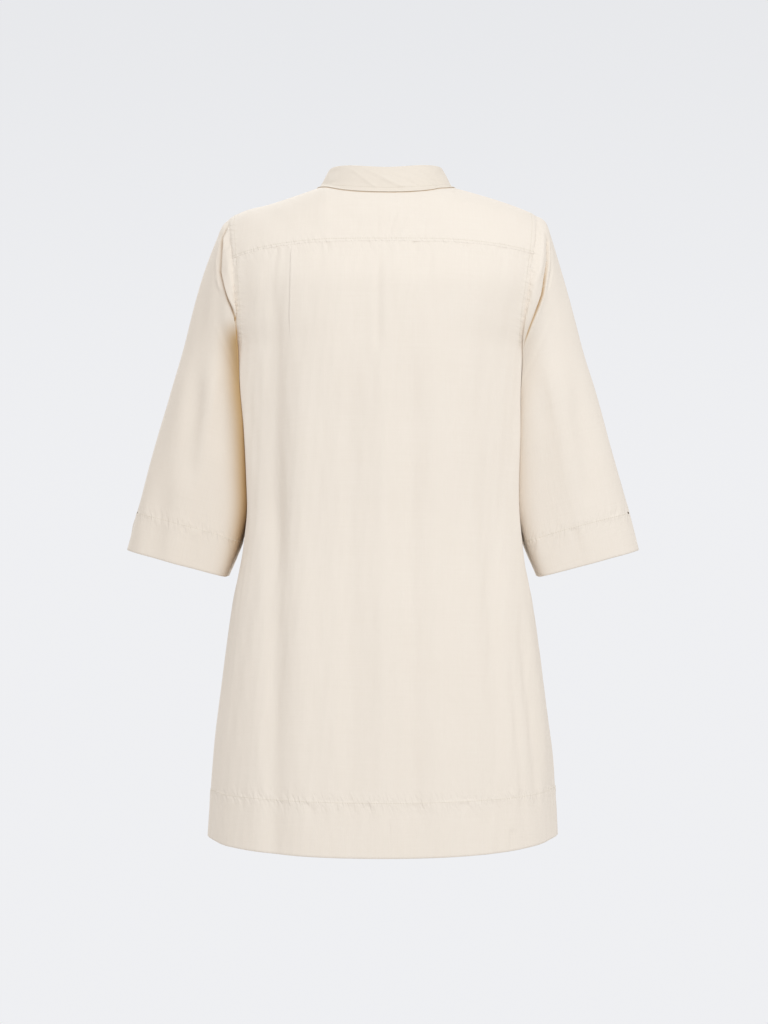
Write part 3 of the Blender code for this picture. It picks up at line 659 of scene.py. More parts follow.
def cloth_mesh(name: str, patch: Patch, thickness: Array | float,
               inner_shade: float = 1.0) -> bpy.types.Object:
    """A closed cloth wall: the patch, an inner side half as fine, and rounded edges between them.

    The inner side is the outer one moved in by the thickness. An edge's middle line lies half way
    through the wall and half a thickness beyond it, which rounds the fold of a hem.

    Args:
        name: the piece's name.
        patch: the outer side, with an even number of steps each way.
        thickness: the wall, one number or one for each point.
        inner_shade: how much of the painted shade the inner side shares.

    Returns:
        The new object, with its cloth coordinates in metres, and its crinkle masks and its painted-shade mask
        as UV maps.
    """
    outer = patch.points
    rows, columns = outer.shape[:2]
    wall = np.broadcast_to(thickness, (rows, columns))[..., None]
    under = outer - patch.normals() * wall
    beyond = np.zeros_like(outer)
    beyond[0] += unit(outer[0] - outer[1])
    beyond[-1] += unit(outer[-1] - outer[-2])
    if not patch.closed:
        beyond[:, 0] += unit(outer[:, 0] - outer[:, 1])
        beyond[:, -1] += unit(outer[:, -1] - outer[:, -2])
    crinkle = np.zeros((rows, columns, 2)) if patch.crinkle is None else patch.crinkle
    # the painted shade mask, carried as a UV map beside the crinkle masks
    deep = np.zeros((rows, columns)) if patch.deep is None else patch.deep
    crinkle = np.concatenate([crinkle, deep[..., None], deep[..., None]], axis=-1)
    if patch.closed:
        crinkle = wrapped(crinkle)
    places = np.concatenate([np.stack([patch.across(), -patch.down()], axis=-1), crinkle], axis=-1)

    inner = under[::2, ::2]
    front_index = numbered(rows, columns, patch.closed)
    inner_index = numbered(*inner.shape[:2], patch.closed, rows * columns)
    points = [outer.reshape(-1, 3), inner.reshape(-1, 3)]
    inside = places[::2, ::2] * np.array([1.0, 1.0, 1.0, 1.0, inner_shade, inner_shade])
    strips = [
        Strip(corners(front_index, FACING), corners(places, FACING)),
        Strip(corners(inner_index, AWAY), corners(inside, AWAY)),
    ]
    count = sum(len(block) for block in points)
    for loop in rim_loops(rows, columns, patch.closed):
        row, column = loop[:, 0], loop[:, 1]
        held = column[:-1] % columns
        middle = (outer + under)[row[:-1], held] / 2.0 + (beyond * wall)[row[:-1], held] / 2.0
        points.append(middle)
        edge = front_index[row, column]
        mid = np.concatenate([np.arange(len(middle)), [0]]) + count
        count += len(middle)
        inner = inner_index[row[::2] // 2, column[::2] // 2]
        place = places[row, column]
        strips.append(Strip(
            np.stack([edge[1:], edge[:-1], mid[:-1], mid[1:]], axis=1),
            np.stack([place[1:], place[:-1], place[:-1], place[1:]], axis=1)))
        first, half, second = mid[:-1:2], mid[1::2], mid[2::2]
        at_first, at_half, at_second = place[:-1:2], place[1::2], place[2::2]
        inner_first, inner_second = inner[:-1], inner[1:]
        for face, where in (
            ((half, first, inner_first), (at_half, at_first, at_first)),
            ((half, inner_first, inner_second), (at_half, at_first, at_second)),
            ((second, half, inner_second), (at_second, at_half, at_second)),
        ):
            strips.append(Strip(np.stack(face, axis=1), np.stack(where, axis=1)))
    turn = 1 if patch.outward > 0.0 else -1
    faces = [face for strip in strips for face in strip.faces[:, ::turn].tolist()]
    values = np.concatenate([strip.places[:, ::turn].reshape(-1, 6) for strip in strips]).astype(np.float32)
    piece = plain_mesh(name, np.concatenate(points), faces)
    for layer, pair in (("cloth", values[:, :2]), ("crinkle", values[:, 2:4]), ("deep", values[:, 4:])):
        piece.data.uv_layers.new(name=layer).data.foreach_set("uv", pair.ravel())
    return piece


def plain_mesh(name: str, points: Array, faces: list[list[int]]) -> bpy.types.Object:
    """A smooth-shaded object from points and faces, put in the scene."""
    mesh = bpy.data.meshes.new(name)
    mesh.from_pydata(points.tolist(), [], faces)
    mesh.shade_smooth()
    piece = bpy.data.objects.new(name, mesh)
    bpy.context.scene.collection.objects.link(piece)
    return piece


# ---------------------------------------------------------------- finishes
def operator(operation: str, swapped: bool = False) -> Callable[["Wire", "Wire | float"], "Wire"]:
    """A Wire's own method for one sum of shader maths.

    Args:
        operation: the Math node's operation.
        swapped: True for the reflected form, where the other value comes first.

    Returns:
        The method.
    """
    def result(wire: "Wire", other: "Wire | float") -> "Wire":
        """The operation on this value and another."""
        one, two = (other, wire) if swapped else (wire, other)
        return wire.recipe.math(operation, one, two)

    return result


@dataclass(frozen=True)
class Wire:
    """One output of a node, so that shader maths on values reads as a sum."""

    recipe: "Recipe"
    socket: bpy.types.NodeSocket

    __add__, __radd__ = operator("ADD"), operator("ADD", swapped=True)
    __sub__, __rsub__ = operator("SUBTRACT"), operator("SUBTRACT", swapped=True)
    __mul__, __rmul__ = operator("MULTIPLY"), operator("MULTIPLY", swapped=True)
    __truediv__, __rtruediv__ = operator("DIVIDE"), operator("DIVIDE", swapped=True)

    def sine(self) -> "Wire":
        """The sine of this value."""
        return self.recipe.math("SINE", self, 0.0)

    def bell(self) -> "Wire":
        """exp(-value^2)."""
        return self.recipe.math("POWER", math.e, self * self * -1.0)

    def between(self, low: float, high: float) -> "Wire":
        """A smooth step from 0 at the low value to 1 at the high one."""
        node = self.recipe.node(
            "ShaderNodeMapRange", {"interpolation_type": "SMOOTHSTEP"},
            {"Value": self, "From Min": low, "From Max": high})
        return Wire(self.recipe, node.outputs["Result"])


class Recipe:
    """The nodes of one material."""

    def __init__(self, name: str) -> None:
        """Starts an empty material.

        Args:
            name: the material's name.
        """
        self.material = bpy.data.materials.new(name)
        self.material.use_nodes = True
        self.tree = self.material.node_tree
        self.tree.nodes.clear()

    def node(self, kind: str, settings: dict[str, Any] | None = None,
             sockets: dict[str | int, Any] | None = None) -> bpy.types.Node:
        """Makes one node.

        Args:
            kind: the node's type.
            settings: its own settings, set first.
            sockets: values, wires or sockets for its inputs, by name or number.

        Returns:
            The node.
        """
        made = self.tree.nodes.new(kind)
        for key, value in (settings or {}).items():
            setattr(made, key, value)
        for key, value in (sockets or {}).items():
            if isinstance(value, Wire):
                value = value.socket
            if isinstance(value, bpy.types.NodeSocket):
                self.tree.links.new(value, made.inputs[key])
            else:
                made.inputs[key].default_value = value
        return made

    def math(self, operation: str, one: "Wire | float", two: "Wire | float") -> Wire:
        """One Math node on two values."""
        made = self.node("ShaderNodeMath", {"operation": operation}, {0: one, 1: two})
        return Wire(self, made.outputs[0])

    def pair(self, layer: str) -> tuple[Wire, Wire]:
        """The two values of one of the cloth's own maps."""
        place = self.node("ShaderNodeUVMap", {"uv_map": layer})
        parts = self.node("ShaderNodeSeparateXYZ", {}, {0: place.outputs["UV"]})
        return Wire(self, parts.outputs["X"]), Wire(self, parts.outputs["Y"])

    def noise(self, across: "Wire", down: "Wire", scale: float, detail: float) -> Wire:
        """Soft noise from 0 to 1 over a pair of coordinates."""
        place = self.node("ShaderNodeCombineXYZ", {}, {"X": across, "Y": down})
        made = self.node("ShaderNodeTexNoise", {"noise_dimensions": "2D"}, {
            "Vector": place.outputs["Vector"], "Scale": scale, "Detail": detail, "Roughness": 0.55})
        return Wire(self, made.outputs[0])

    def blend(self, factor: Wire, one: Any, two: Any) -> bpy.types.NodeSocket:
        """The first colour where the factor is 0 and the second where it is 1."""
        made = self.node("ShaderNodeMix", {"data_type": "RGBA"}, {"Factor": factor, 6: one, 7: two})
        return made.outputs[2]

    def finished(self, sockets: dict[str | int, Any]) -> bpy.types.Material:
        """Ends the recipe with the surface shader and its sockets."""
        shader = self.node("ShaderNodeBsdfPrincipled", {}, sockets)
        self.node("ShaderNodeOutputMaterial", {}, {"Surface": shader.outputs["BSDF"]})
        return self.material


class PressedLine(NamedTuple):
    """A fine pressed crease down a panel, in the cloth's own coordinates."""

    across: float
    top: float
    bottom: float
    width: float
    depth: float
    drift: float


@dataclass(frozen=True)
class ClothFinish:
    """Plain-weave cotton: threads, thicker and thinner yarns, faint mottling and fine crumple, with
    golden-brown shade painted into its colour where the deep map marks folds, gaps and shadows.
    """

    name: str
    colour: tuple[float, float, float] = (0.880, 0.812, 0.735)
    shade: tuple[float, float, float] = (0.825, 0.747, 0.655)
    # painted shade: the golden brown that stands in for shade deep in folds, beside the body and under the
    # collar's edge
    deep: tuple[float, float, float] = (0.520, 0.335, 0.150)
    pitch: float = 0.00062
    weave_height: float = 0.00005
    crumple_height: float = 0.00016
    crumple_scale: float = 95.0
    pucker_height: float = 0.00052
    pucker_slant: float = 0.35
    yarn_strength: float = 0.34
    mottle_strength: float = 0.26
    weave_strength: float = 0.05
    shade_share: float = 0.32
    yarn_fine: float = 900.0
    yarn_long: float = 14.0
    yarn_height: float = 0.00005
    streak_fine: float = 190.0
    streak_long: float = 62.0
    line_fade: float = 0.03
    roughness: float = 0.86
    pressed: tuple[PressedLine, ...] = ()

    def material(self) -> bpy.types.Material:
        """The finished material."""
        recipe = Recipe(self.name)
        across, down = recipe.pair("cloth")
        level_seam, upright_seam = recipe.pair("crinkle")
        half_turns = math.pi / self.pitch
        weave = (across * half_turns).sine() * (down * half_turns).sine()
        warp = recipe.noise(across * self.yarn_fine, down * self.yarn_long, 1.0, 2.0)
        weft = recipe.noise(across * self.yarn_long, down * self.yarn_fine, 1.0, 2.0)
        mottle = recipe.noise(across, down, 16.0, 3.0)
        crumple = recipe.noise(across * 1.5, down * 0.8, self.crumple_scale, 3.0)
        wrinkle = recipe.noise(across * 3.0, down * 0.9, 24.0, 3.0)
        dark = (warp + weft - 1.0) * self.yarn_strength + (mottle - 0.5) * self.mottle_strength
        dark = dark + weave * self.weave_strength + self.shade_share
        colour = recipe.blend(dark, (*self.colour, 1.0), (*self.shade, 1.0))
        # Painted shade: the colour turns golden brown where the deep map is high
        colour = recipe.blend(recipe.pair("deep")[0], colour, (*self.deep, 1.0))
        height = weave * self.weave_height + crumple * self.crumple_height
        height = height + wrinkle * (self.crumple_height * 1.6) + (warp + weft) * self.yarn_height
        leaning = across + down * self.pucker_slant
        streaks = recipe.noise(leaning * self.streak_fine, down * self.streak_long, 1.0, 1.0)
        leaning = down + across * 0.3
        cross_streaks = recipe.noise(across * self.streak_long, leaning * self.streak_fine, 1.0, 1.0)
        for run, seam in ((streaks, level_seam), (cross_streaks, upright_seam)):
            height = height + run.between(0.34, 0.66) * seam * self.pucker_height
        for line in self.pressed:
            off = (across - line.across - (down + line.top) * line.drift) / line.width
            begun = 1.0 - down.between(-line.top - 0.012, -line.top)
            ends = down.between(-line.bottom, -line.bottom + self.line_fade) * begun
            height = height + off.bell() * ends * line.depth
        bump = recipe.node("ShaderNodeBump", {}, {"Strength": 1.0, "Distance": 1.0, "Height": height})
        return recipe.finished({
            "Base Color": colour,
            "Roughness": self.roughness,
            "Specular IOR Level": 0.22,
            "Sheen Weight": 0.12,
            "Sheen Roughness": 0.5,
            "Normal": bump.outputs["Normal"],
        })


@dataclass(frozen=True)
class ThreadFinish:
    """Sewing thread: twisted, a little shinier than the cloth."""

    name: str
    colour: tuple[float, float, float]
    roughness: float = 0.6

    def material(self) -> bpy.types.Material:
        """The finished material, with the twist as a fine ripple along the thread."""
        recipe = Recipe(self.name)
        place = recipe.node("ShaderNodeTexCoord")
        twist = recipe.node("ShaderNodeTexNoise", {}, {
            "Vector": place.outputs["Object"], "Scale": 2600.0, "Detail": 1.0})
        value = Wire(recipe, twist.outputs[0])
        darker = tuple(channel * 0.84 for channel in self.colour)
        colour = recipe.blend(value, (*self.colour, 1.0), (*darker, 1.0))
        ripple = {"Strength": 0.6, "Distance": 1.0, "Height": value * 0.00006}
        bump = recipe.node("ShaderNodeBump", {}, ripple)
        return recipe.finished({
            "Base Color": colour, "Roughness": self.roughness, "Normal": bump.outputs["Normal"]})


@dataclass(frozen=True)
class ButtonFinish:
    """Cream resin with a faint cloud in it."""

    name: str
    colour: tuple[float, float, float] = (0.80, 0.74, 0.62)
    cloud: tuple[float, float, float] = (0.70, 0.62, 0.49)

    def material(self) -> bpy.types.Material:
        """The finished material."""
        recipe = Recipe(self.name)
        place = recipe.node("ShaderNodeTexCoord")
        marble = recipe.node("ShaderNodeTexNoise", {}, {
            "Vector": place.outputs["Object"], "Scale": 260.0, "Detail": 4.0, "Distortion": 1.2})
        value = Wire(recipe, marble.outputs[0])
        colour = recipe.blend(value.between(0.38, 0.72), (*self.colour, 1.0), (*self.cloud, 1.0))
        return recipe.finished({
            "Base Color": colour, "Roughness": value * 0.16 + 0.26, "Coat Weight": 0.15})


# ---------------------------------------------------------------- the body's form
def turned(angle: Array, half: Half) -> Array:
    """The angle itself on the back half, and its mirror image on the front."""
    return math.pi - angle if half is Half.FRONT else angle


@dataclass
class TorsoForm:
    """The ring of sections that every panel lies on, and the lines that bound the panels."""

    neck_half_width: float = 0.068
    neck_back: float = 0.071
    neck_front: float = 0.057
    shoulder_half_width: float = 0.1895
    seam_forward: float = 0.010
    side_turn_height: float = -0.130
    side_turn_span: float = 0.080
    armpit: float = -0.200
    back_power: float = 2.45
    corner_share: float = 0.78
    corner_power: float = 60.0
    front_power: float = 2.15
    front_round: float = 0.085
    front_round_power: float = 2.1
    fold_radius: float = 0.165
    fold_fade: float = 0.10
    fold_start: float = 0.55
    yoke_seam: float = -0.0725
    yoke_seam_drop_left: float = 0.0175
    yoke_seam_drop_right: float = 0.0120
    yoke_seam_power: float = 3.2
    hem: float = -0.803
    hem_drop: float = 0.011
    hem_curve_power: float = 2.2
    hem_right_lift: float = 0.0024
    hem_lift_start: float = 0.65
    hem_corner_lift: float = 0.0024
    hem_corner_start: float = 0.88
    hem_depth: float = 0.058
    hem_back_extra: float = 0.007
    half_width: Through = Through(SECTIONS, "height", "half_width")
    back_depth: Through = Through(SECTIONS, "height", "back")
    front_depth: Through = Through(SECTIONS, "height", "front")
    armhole: Through = Through(ARMHOLE, "height", "reach")
    trim_left: Through = Through(SIDES, "height", "trim_left")
    trim_right: Through = Through(SIDES, "height", "trim_right")
    crisp_left: Through = Through(SIDES, "height", "crisp_left")
    crisp_right: Through = Through(SIDES, "height", "crisp_right")
    shoulder: Through = Through(SHOULDER, "across", "height")
    round_height: Through = Through(SHOULDER, "across", "round_height")
    round_power: Through = Through(SHOULDER, "across", "power")

    def fold_depth(self, angle: Array, height: Array) -> Array:
        """How far the body's large folds push the cloth out: bells across, growing on the way down.

        Args:
            angle: angle round the body from centre back.
            height: height.

        Returns:
            The depth at each place.
        """
        total = np.zeros(np.broadcast(angle, height).shape)
        for fold in BODY_FOLDS:
            share = np.clip((fold.top - height) / (fold.top - fold.bottom), 0.0, 1.0)
            centre = np.radians(fold.angle_top + (fold.angle_bottom - fold.angle_top) * share)
            shape = bell(off_turn(angle, centre) * self.fold_radius / fold.width)
            ends = smooth((fold.top - height) / self.fold_fade)
            ends = ends * smooth((height - fold.bottom) / self.fold_fade)
            total += fold.depth * shape * ends * (self.fold_start + (1.0 - self.fold_start) * share)
        return total

    def trim(self, sign: Array, height: Array) -> Array:
        """How much further in the named side hangs."""
        return np.where(sign > 0.0, self.trim_right(height), self.trim_left(height))

    def half(self, sign: Array, height: Array) -> Array:
        """Half the width of the body on the side that the sign names."""
        return self.half_width(height) - self.trim(sign, height)

    def edge(self, sign: Array, height: Array) -> Array:
        """How far out a panel's edge lies: the armhole above the armpit, the side seam below it."""
        beside = self.armhole(height) - self.trim(sign, height)
        return np.where(height > self.armpit, beside, self.half(sign, height))

    def beside_sleeve(self, height: Array) -> Array:
        """1 where a panel's edge meets the sleeve, and 0 below the armpit."""
        return smooth((height - self.armpit) / 0.01)

    def section(self, sign: Array, share: Array, behind: Array, height: Array) -> Array:
        """Depth of a section: a superellipse, and at the back's sides a straight slope with a crisp turn.

        The slope goes on from the corner share as a straight line v - m * (share - corner share), times
        (1 - t^q)^(1/q), where t runs from 0 at that share to 1 at the side.

        Args:
            sign: which side, by its sign.
            share: share of the half width, 0 to 1.
            behind: True on the back half.
            height: height.

        Returns:
            The depth, as a share of the full depth.
        """
        power = np.where(behind, self.back_power, self.front_power)
        share = np.minimum(share, 1.0)
        plain = (1.0 - share**power) ** (1.0 / power)
        p, s = self.back_power, self.corner_share
        start = (1.0 - s**p) ** (1.0 / p)
        slope = s ** (p - 1.0) * start ** (1.0 - p)
        t = np.clip((share - s) / (1.0 - s), 0.0, 1.0)
        straight = (start - slope * (share - s)) * (1.0 - t**self.corner_power) ** (1.0 / self.corner_power)
        weight = np.where(sign > 0.0, self.crisp_right(height), self.crisp_left(height))
        return plain + np.where(behind & (share > s), straight - plain, 0.0) * weight

    def skin(self, angle: Array, height: Array) -> Array:
        """A superellipse at each height, times a rounded cap below the shoulder line, plus the folds.

        Args:
            angle: angle round the body, 0 at centre back and 90 degrees at the right side seam.
            height: height.

        Returns:
            Points on the outer side of the body.
        """
        sine, cosine = np.sin(angle), np.cos(angle)
        behind = cosine >= 0.0
        across = self.half(sine, height) * sine
        section = self.section(sine, np.abs(sine), behind, height)
        depth = np.where(behind, self.back_depth(height), self.front_depth(height))
        rounding_height = np.where(behind, self.round_height(across), self.front_round)
        rounding = np.where(behind, self.round_power(across), self.front_round_power)
        below = np.clip((self.shoulder(across) - height) / rounding_height, 0.0, 1.0)
        cap = (1.0 - (1.0 - below) ** rounding) ** (1.0 / rounding)
        middle = self.seam_forward * smooth((height - self.side_turn_height) / self.side_turn_span)
        out = self.fold_depth(angle, height)
        forward = middle - np.where(behind, 1.0, -1.0) * depth * section * cap
        return np.stack([across + out * sine, forward - out * cosine, height + 0.0 * across], axis=-1)

    def normal(self, angle: Array, height: Array) -> Array:
        """Outward direction of the skin, square to a small step round it and a small step down it."""
        round_it = self.skin(angle + STEP, height) - self.skin(angle - STEP, height)
        down = self.skin(angle, height - STEP) - self.skin(angle, height)
        return unit(np.cross(down, round_it))

    def angle_of(self, share: Array, height: Array) -> Array:
        """The angle of a column that keeps the same share of the way from the centre to the edge."""
        wide = share * self.edge(share, height) / self.half(share, height)
        return np.arcsin(np.clip(wide, -1.0, 1.0))

    def panel(self, half: Half, share: Array, height: Array) -> Array:
        """Points of the back or front panel by share and height."""
        return self.skin(turned(self.angle_of(share, height), half), height)

    def hem_height(self, share: Array) -> Array:
        """Height of the hem edge: lowest in the middle of a panel, a little higher at the right."""
        lift = self.hem_right_lift * smooth((share - self.hem_lift_start) / (1.0 - self.hem_lift_start))
        lift = lift + self.hem_corner_lift * smooth(
            (np.abs(share) - self.hem_corner_start) / (1.0 - self.hem_corner_start))
        return self.hem + lift - self.hem_drop * (1.0 - np.abs(share) ** self.hem_curve_power)

    def yoke_seam_height(self, share: Array) -> Array:
        """Height of the yoke seam, almost level in the middle and lower at the armholes."""
        drop = np.where(share > 0.0, self.yoke_seam_drop_right, self.yoke_seam_drop_left)
        return self.yoke_seam - drop * np.abs(share) ** self.yoke_seam_power

    def neck_height(self, across: Array, half: Half) -> Array:
        """Height of the neckline on the skin, whose plan is an ellipse, found by halving the range.

        Args:
            across: how far across each point lies.
            half: which half of the neckline.

        Returns:
            Its height.
        """
        share = np.sqrt(np.clip(1.0 - (across / self.neck_half_width) ** 2, 0.0, 1.0))
        reach = self.neck_front if half is Half.FRONT else -self.neck_back
        wanted = self.seam_forward + share * reach
        high = self.shoulder(across)
        low = high + self.yoke_seam * 2.0
        for _ in range(HALVINGS):
            middle = (high + low) / 2.0
            angle = np.arcsin(across / self.half_width(middle))
            forward = self.skin(turned(angle, half), middle)[..., 1]
            beyond = forward > wanted if half is Half.FRONT else forward < wanted
            low = np.where(beyond, middle, low)
            high = np.where(beyond, high, middle)
        return high

    def top_edge(self, share: Array, half: Half) -> Array:
        """Height of a panel's top edge: the neckline in the middle, the shoulder seam beyond it."""
        across = share * self.shoulder_half_width
        inside = np.clip(across, -self.neck_half_width, self.neck_half_width)
        on_neck = np.abs(across) < self.neck_half_width
        return np.where(on_neck, self.neck_height(inside, half), self.shoulder(across))

    def neck_columns(self, neck: int, shoulder: int) -> Array:
        """Shares of columns, closer together where the neckline turns up to the shoulder seam.

        Args:
            neck: steps from the centre to the end of the neckline.
            shoulder: steps along the shoulder seam.

        Returns:
            One row of shares from -1 to 1.
        """
        corner = self.neck_half_width / self.shoulder_half_width
        inner = corner * np.sin(np.linspace(0.0, math.pi / 2.0, neck + 1))
        outer = np.linspace(corner, 1.0, shoulder + 1)[1:]
        one_side = np.concatenate([inner, outer])
        return np.concatenate([-one_side[:0:-1], one_side])[None, :]

    def side_reach(self, sign: float, forward: Array, height: Array) -> Array:
        """How far out the body reaches at a place between its back and front, found by halving.

        Below the armpit a place behind the back's corner counts as one beside that corner, and above it
        as free of the body.

        Args:
            sign: which side.
            forward: how far forward each place lies.
            height: its height.

        Returns:
            The reach, no further than the armhole above the armpit.
        """
        behind = forward < 0.0
        depth = np.where(behind, self.back_depth(height), self.front_depth(height))
        corner = self.section(sign, np.full(height.shape, 0.996), behind, height)
        wanted = np.minimum(np.abs(forward) / depth, corner)
        outside = smooth((height - self.armpit) / 0.02) * (np.abs(forward) / depth > corner)
        low, high = np.zeros_like(wanted), np.ones_like(wanted)
        for _ in range(HALVINGS // 2):
            middle = (low + high) / 2.0
            deeper = self.section(sign, middle, behind, height) > wanted
            low, high = np.where(deeper, middle, low), np.where(deeper, high, middle)
        return np.minimum(self.half(sign, height) * high, self.edge(sign, height)) * (1.0 - outside)


def spaced(*stretches: tuple[float, float, int]) -> Array:
    """Numbers along one line, stretch by stretch, each a start, an end and a count of steps."""
    parts = [np.linspace(start, end, steps, endpoint=False) for start, end, steps in stretches]
    return np.concatenate([*parts, [stretches[-1][1]]])


def stretched_levels(marks: Sequence[Array], steps: Sequence[int]) -> Array:
    """Heights of a panel's rows, even between each pair of marks.

    Args:
        marks: heights of the marks, each one row of columns.
        steps: how many rows lie between each pair.

    Returns:
        Heights, rows by columns.
    """
    parts = []
    for above, below, count in zip(marks, marks[1:], steps):
        share = np.linspace(0.0, 1.0, count, endpoint=False)[:, None]
        parts.append(above + (below - above) * share)
    return np.concatenate([*parts, marks[-1]])


# ---------------------------------------------------------------- stitches
@dataclass
class StitchRun:
    """A row of stitches along a line on the cloth."""

    line: Array
    normals: Array
    pitch: float = 0.0029
    length: float = 0.0023
    radius: float = 0.00023
    sink: float = 0.00006
    sides: int = 5

    def geometry(self) -> tuple[Array, Array]:
        """Tapered stitches: rings of points round a short axis, thinner at both ends.

        Returns:
            The points of all stitches, and the quads of one stitch after another.
        """
        run = run_along(self.line)
        count = max(int(run[-1] / self.pitch), 1)
        at = (np.arange(count) + 0.5) * run[-1] / count
        centre = read_line(self.line, run, at)
        along = unit(read_line(self.line, run, at + STEP * 5) - read_line(self.line, run, at - STEP * 5))
        out = unit(read_line(self.normals, run, at))
        sideways = unit(np.cross(along, out))
        out = np.cross(sideways, along)
        reach = np.array([-0.5, -0.34, 0.34, 0.5]) * self.length
        thick = np.array([0.45, 1.0, 1.0, 0.45]) * self.radius
        dip = np.array([-0.9, 0.0, 0.0, -0.9]) * self.radius + self.sink
        turn = np.linspace(0.0, 2.0 * math.pi, self.sides, endpoint=False)
        ring = (sideways[:, None, None] * np.cos(turn)[None, None, :, None]
                + out[:, None, None] * np.sin(turn)[None, None, :, None])
        points = (centre[:, None, None] + along[:, None, None] * reach[None, :, None, None]
                  + out[:, None, None] * dip[None, :, None, None] + ring * thick[None, :, None, None])
        quads = corners(numbered(len(reach), self.sides), TURNED)
        offsets = (np.arange(count) * len(reach) * self.sides)[:, None, None]
        return points.reshape(-1, 3), (quads + offsets).reshape(-1, 4)


def stitches(name: str, runs: Sequence[StitchRun]) -> bpy.types.Object:
    """One piece of thread from several rows of stitches, with their ends closed."""
    points: list[Array] = []
    faces: list[list[int]] = []
    count = 0
    for run in runs:
        places, quads = run.geometry()
        points.append(places)
        faces.extend((quads + count).tolist())
        first = np.arange(0, len(places), 4 * run.sides)[:, None] + count
        start = first + np.arange(run.sides)[None, :]
        end = first + 3 * run.sides + np.arange(run.sides)[None, ::-1]
        faces.extend(start.tolist())
        faces.extend(end.tolist())
        count += len(places)
    return plain_mesh(name, np.concatenate(points), faces)


class Slot(Enum):
    """Material slots, by name."""

    CLOTH = "cloth"
    COLLAR = "collar_cloth"
    BUTTON = "button"


def settle(piece: bpy.types.Object, material: bpy.types.Material, slot: Slot, *nodes: str) -> None:
    """Gives a piece its material and its body, and hides the CAD nodes that it stands for.

    Args:
        piece: the piece.
        material: its finish.
        slot: its material slot; not used.
        nodes: CAD nodes that it replaces, if any.
    """
    piece.data.materials.append(material)
    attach(piece, BODY)
    if nodes:
        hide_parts(*nodes)
    piece.data.calc_loop_triangles()
    LOG.info("%s: %d triangles", piece.name, len(piece.data.loop_triangles))


# ---------------------------------------------------------------- panels
def edge_band(from_edge: Array, strength: Array | float = 1.0) -> Array:
    """The pressed seam allowance beside an armhole: a low step at its width, times the strength."""
    step = 1.0 - smooth((from_edge - BAND_WIDTH + BAND_SOFT) / (2.0 * BAND_SOFT))
    return BAND_LIFT * step * strength


@dataclass
class YokePanel:
    """The back yoke, from the neckline and shoulder seams down to the yoke seam."""

    form: TorsoForm
    leaf: Patch
    neck_steps: int = 56
    shoulder_steps: int = 44
    rows: int = 74
    row_ease: float = 1.9
    overlap: float = 0.0010
    edge_lift: float = 0.00012
    edge_fade: float = 0.009
    # how far below the collar leaf's edge a shadow is painted on the yoke
    shade_below: float = 0.0022
    swell: Swell = Swell(0.00030, 0.060, 0.050, 11)
    puckers: Puckers = Puckers(70, 0.0100, 0.0026, 0.00042, 0.0, 21)
    armhole_puckers: Puckers = Puckers(26, 0.008, 0.0026, 0.0004, 0.2, 23)
    streaks: tuple[Crease, ...] = table(
        Crease,
        (-0.028, -0.074, 0.02, 0.011, 0.006, 0.0022, -0.0007),
        (-0.036, -0.074, 0.034, 0.026, 0.02, 0.0026, 0.0006),
        (-0.04, -0.074, -0.004, -0.007, -0.006, 0.002, -0.0006),
        (-0.045, -0.075, 0.052, 0.05, 0.05, 0.0022, -0.0006),
        (-0.045, -0.076, -0.03, -0.033, -0.034, 0.0022, -0.0005),
    )

    def patch(self) -> Patch:
        """The yoke's outer side, with its swells, puckers and pressed edges."""
        share = self.form.neck_columns(self.neck_steps, self.shoulder_steps)
        top = self.form.top_edge(share, Half.BACK)
        bottom = self.form.yoke_seam_height(share) - self.overlap
        down = (np.linspace(0.0, 1.0, self.rows + 1) ** self.row_ease)[:, None]
        height = top + (bottom - top) * down
        patch = Patch(self.form.panel(Half.BACK, share, height), -1.0, anchor=self.rows)
        across, from_edge, from_seam = patch.across(), patch.from_edge(), -patch.down()
        depth = self.swell(patch.points[..., 0], height) * smooth(from_seam / 0.03)
        depth *= smooth((-0.020 - height) / 0.015)
        depth += self.puckers(across, from_seam - 0.0010)
        depth += self.armhole_puckers(height, from_edge - 0.002)
        depth += crease_depth(self.streaks, across, height)
        depth += self.edge_lift * (1.0 - smooth(from_seam / self.edge_fade))
        depth += edge_band(from_edge)
        patch.crinkle = np.stack([bell(from_seam / 0.008), 0.8 * bell((from_edge - 0.003) / 0.008)], axis=-1)
        # Painted shadow: the yoke just under the collar leaf's edge is tinted golden brown, as if in the
        # leaf's shade.
        edge = self.leaf.points[-1]
        edge = edge[edge[:, 1] < 0.0]
        under = patch.points[..., 2] - np.interp(patch.points[..., 0], edge[:, 0], edge[:, 2])
        patch.deep = 0.8 * smooth((under + self.shade_below) / 0.0008)
        return patch.moved(depth)

    def build(self, finish: bpy.types.Material) -> Patch:
        patch = self.patch()
        piece = cloth_mesh("yoke_cloth", patch, CLOTH, inner_shade=0.0)
        settle(piece, finish, Slot.CLOTH, "yoke")
        return patch


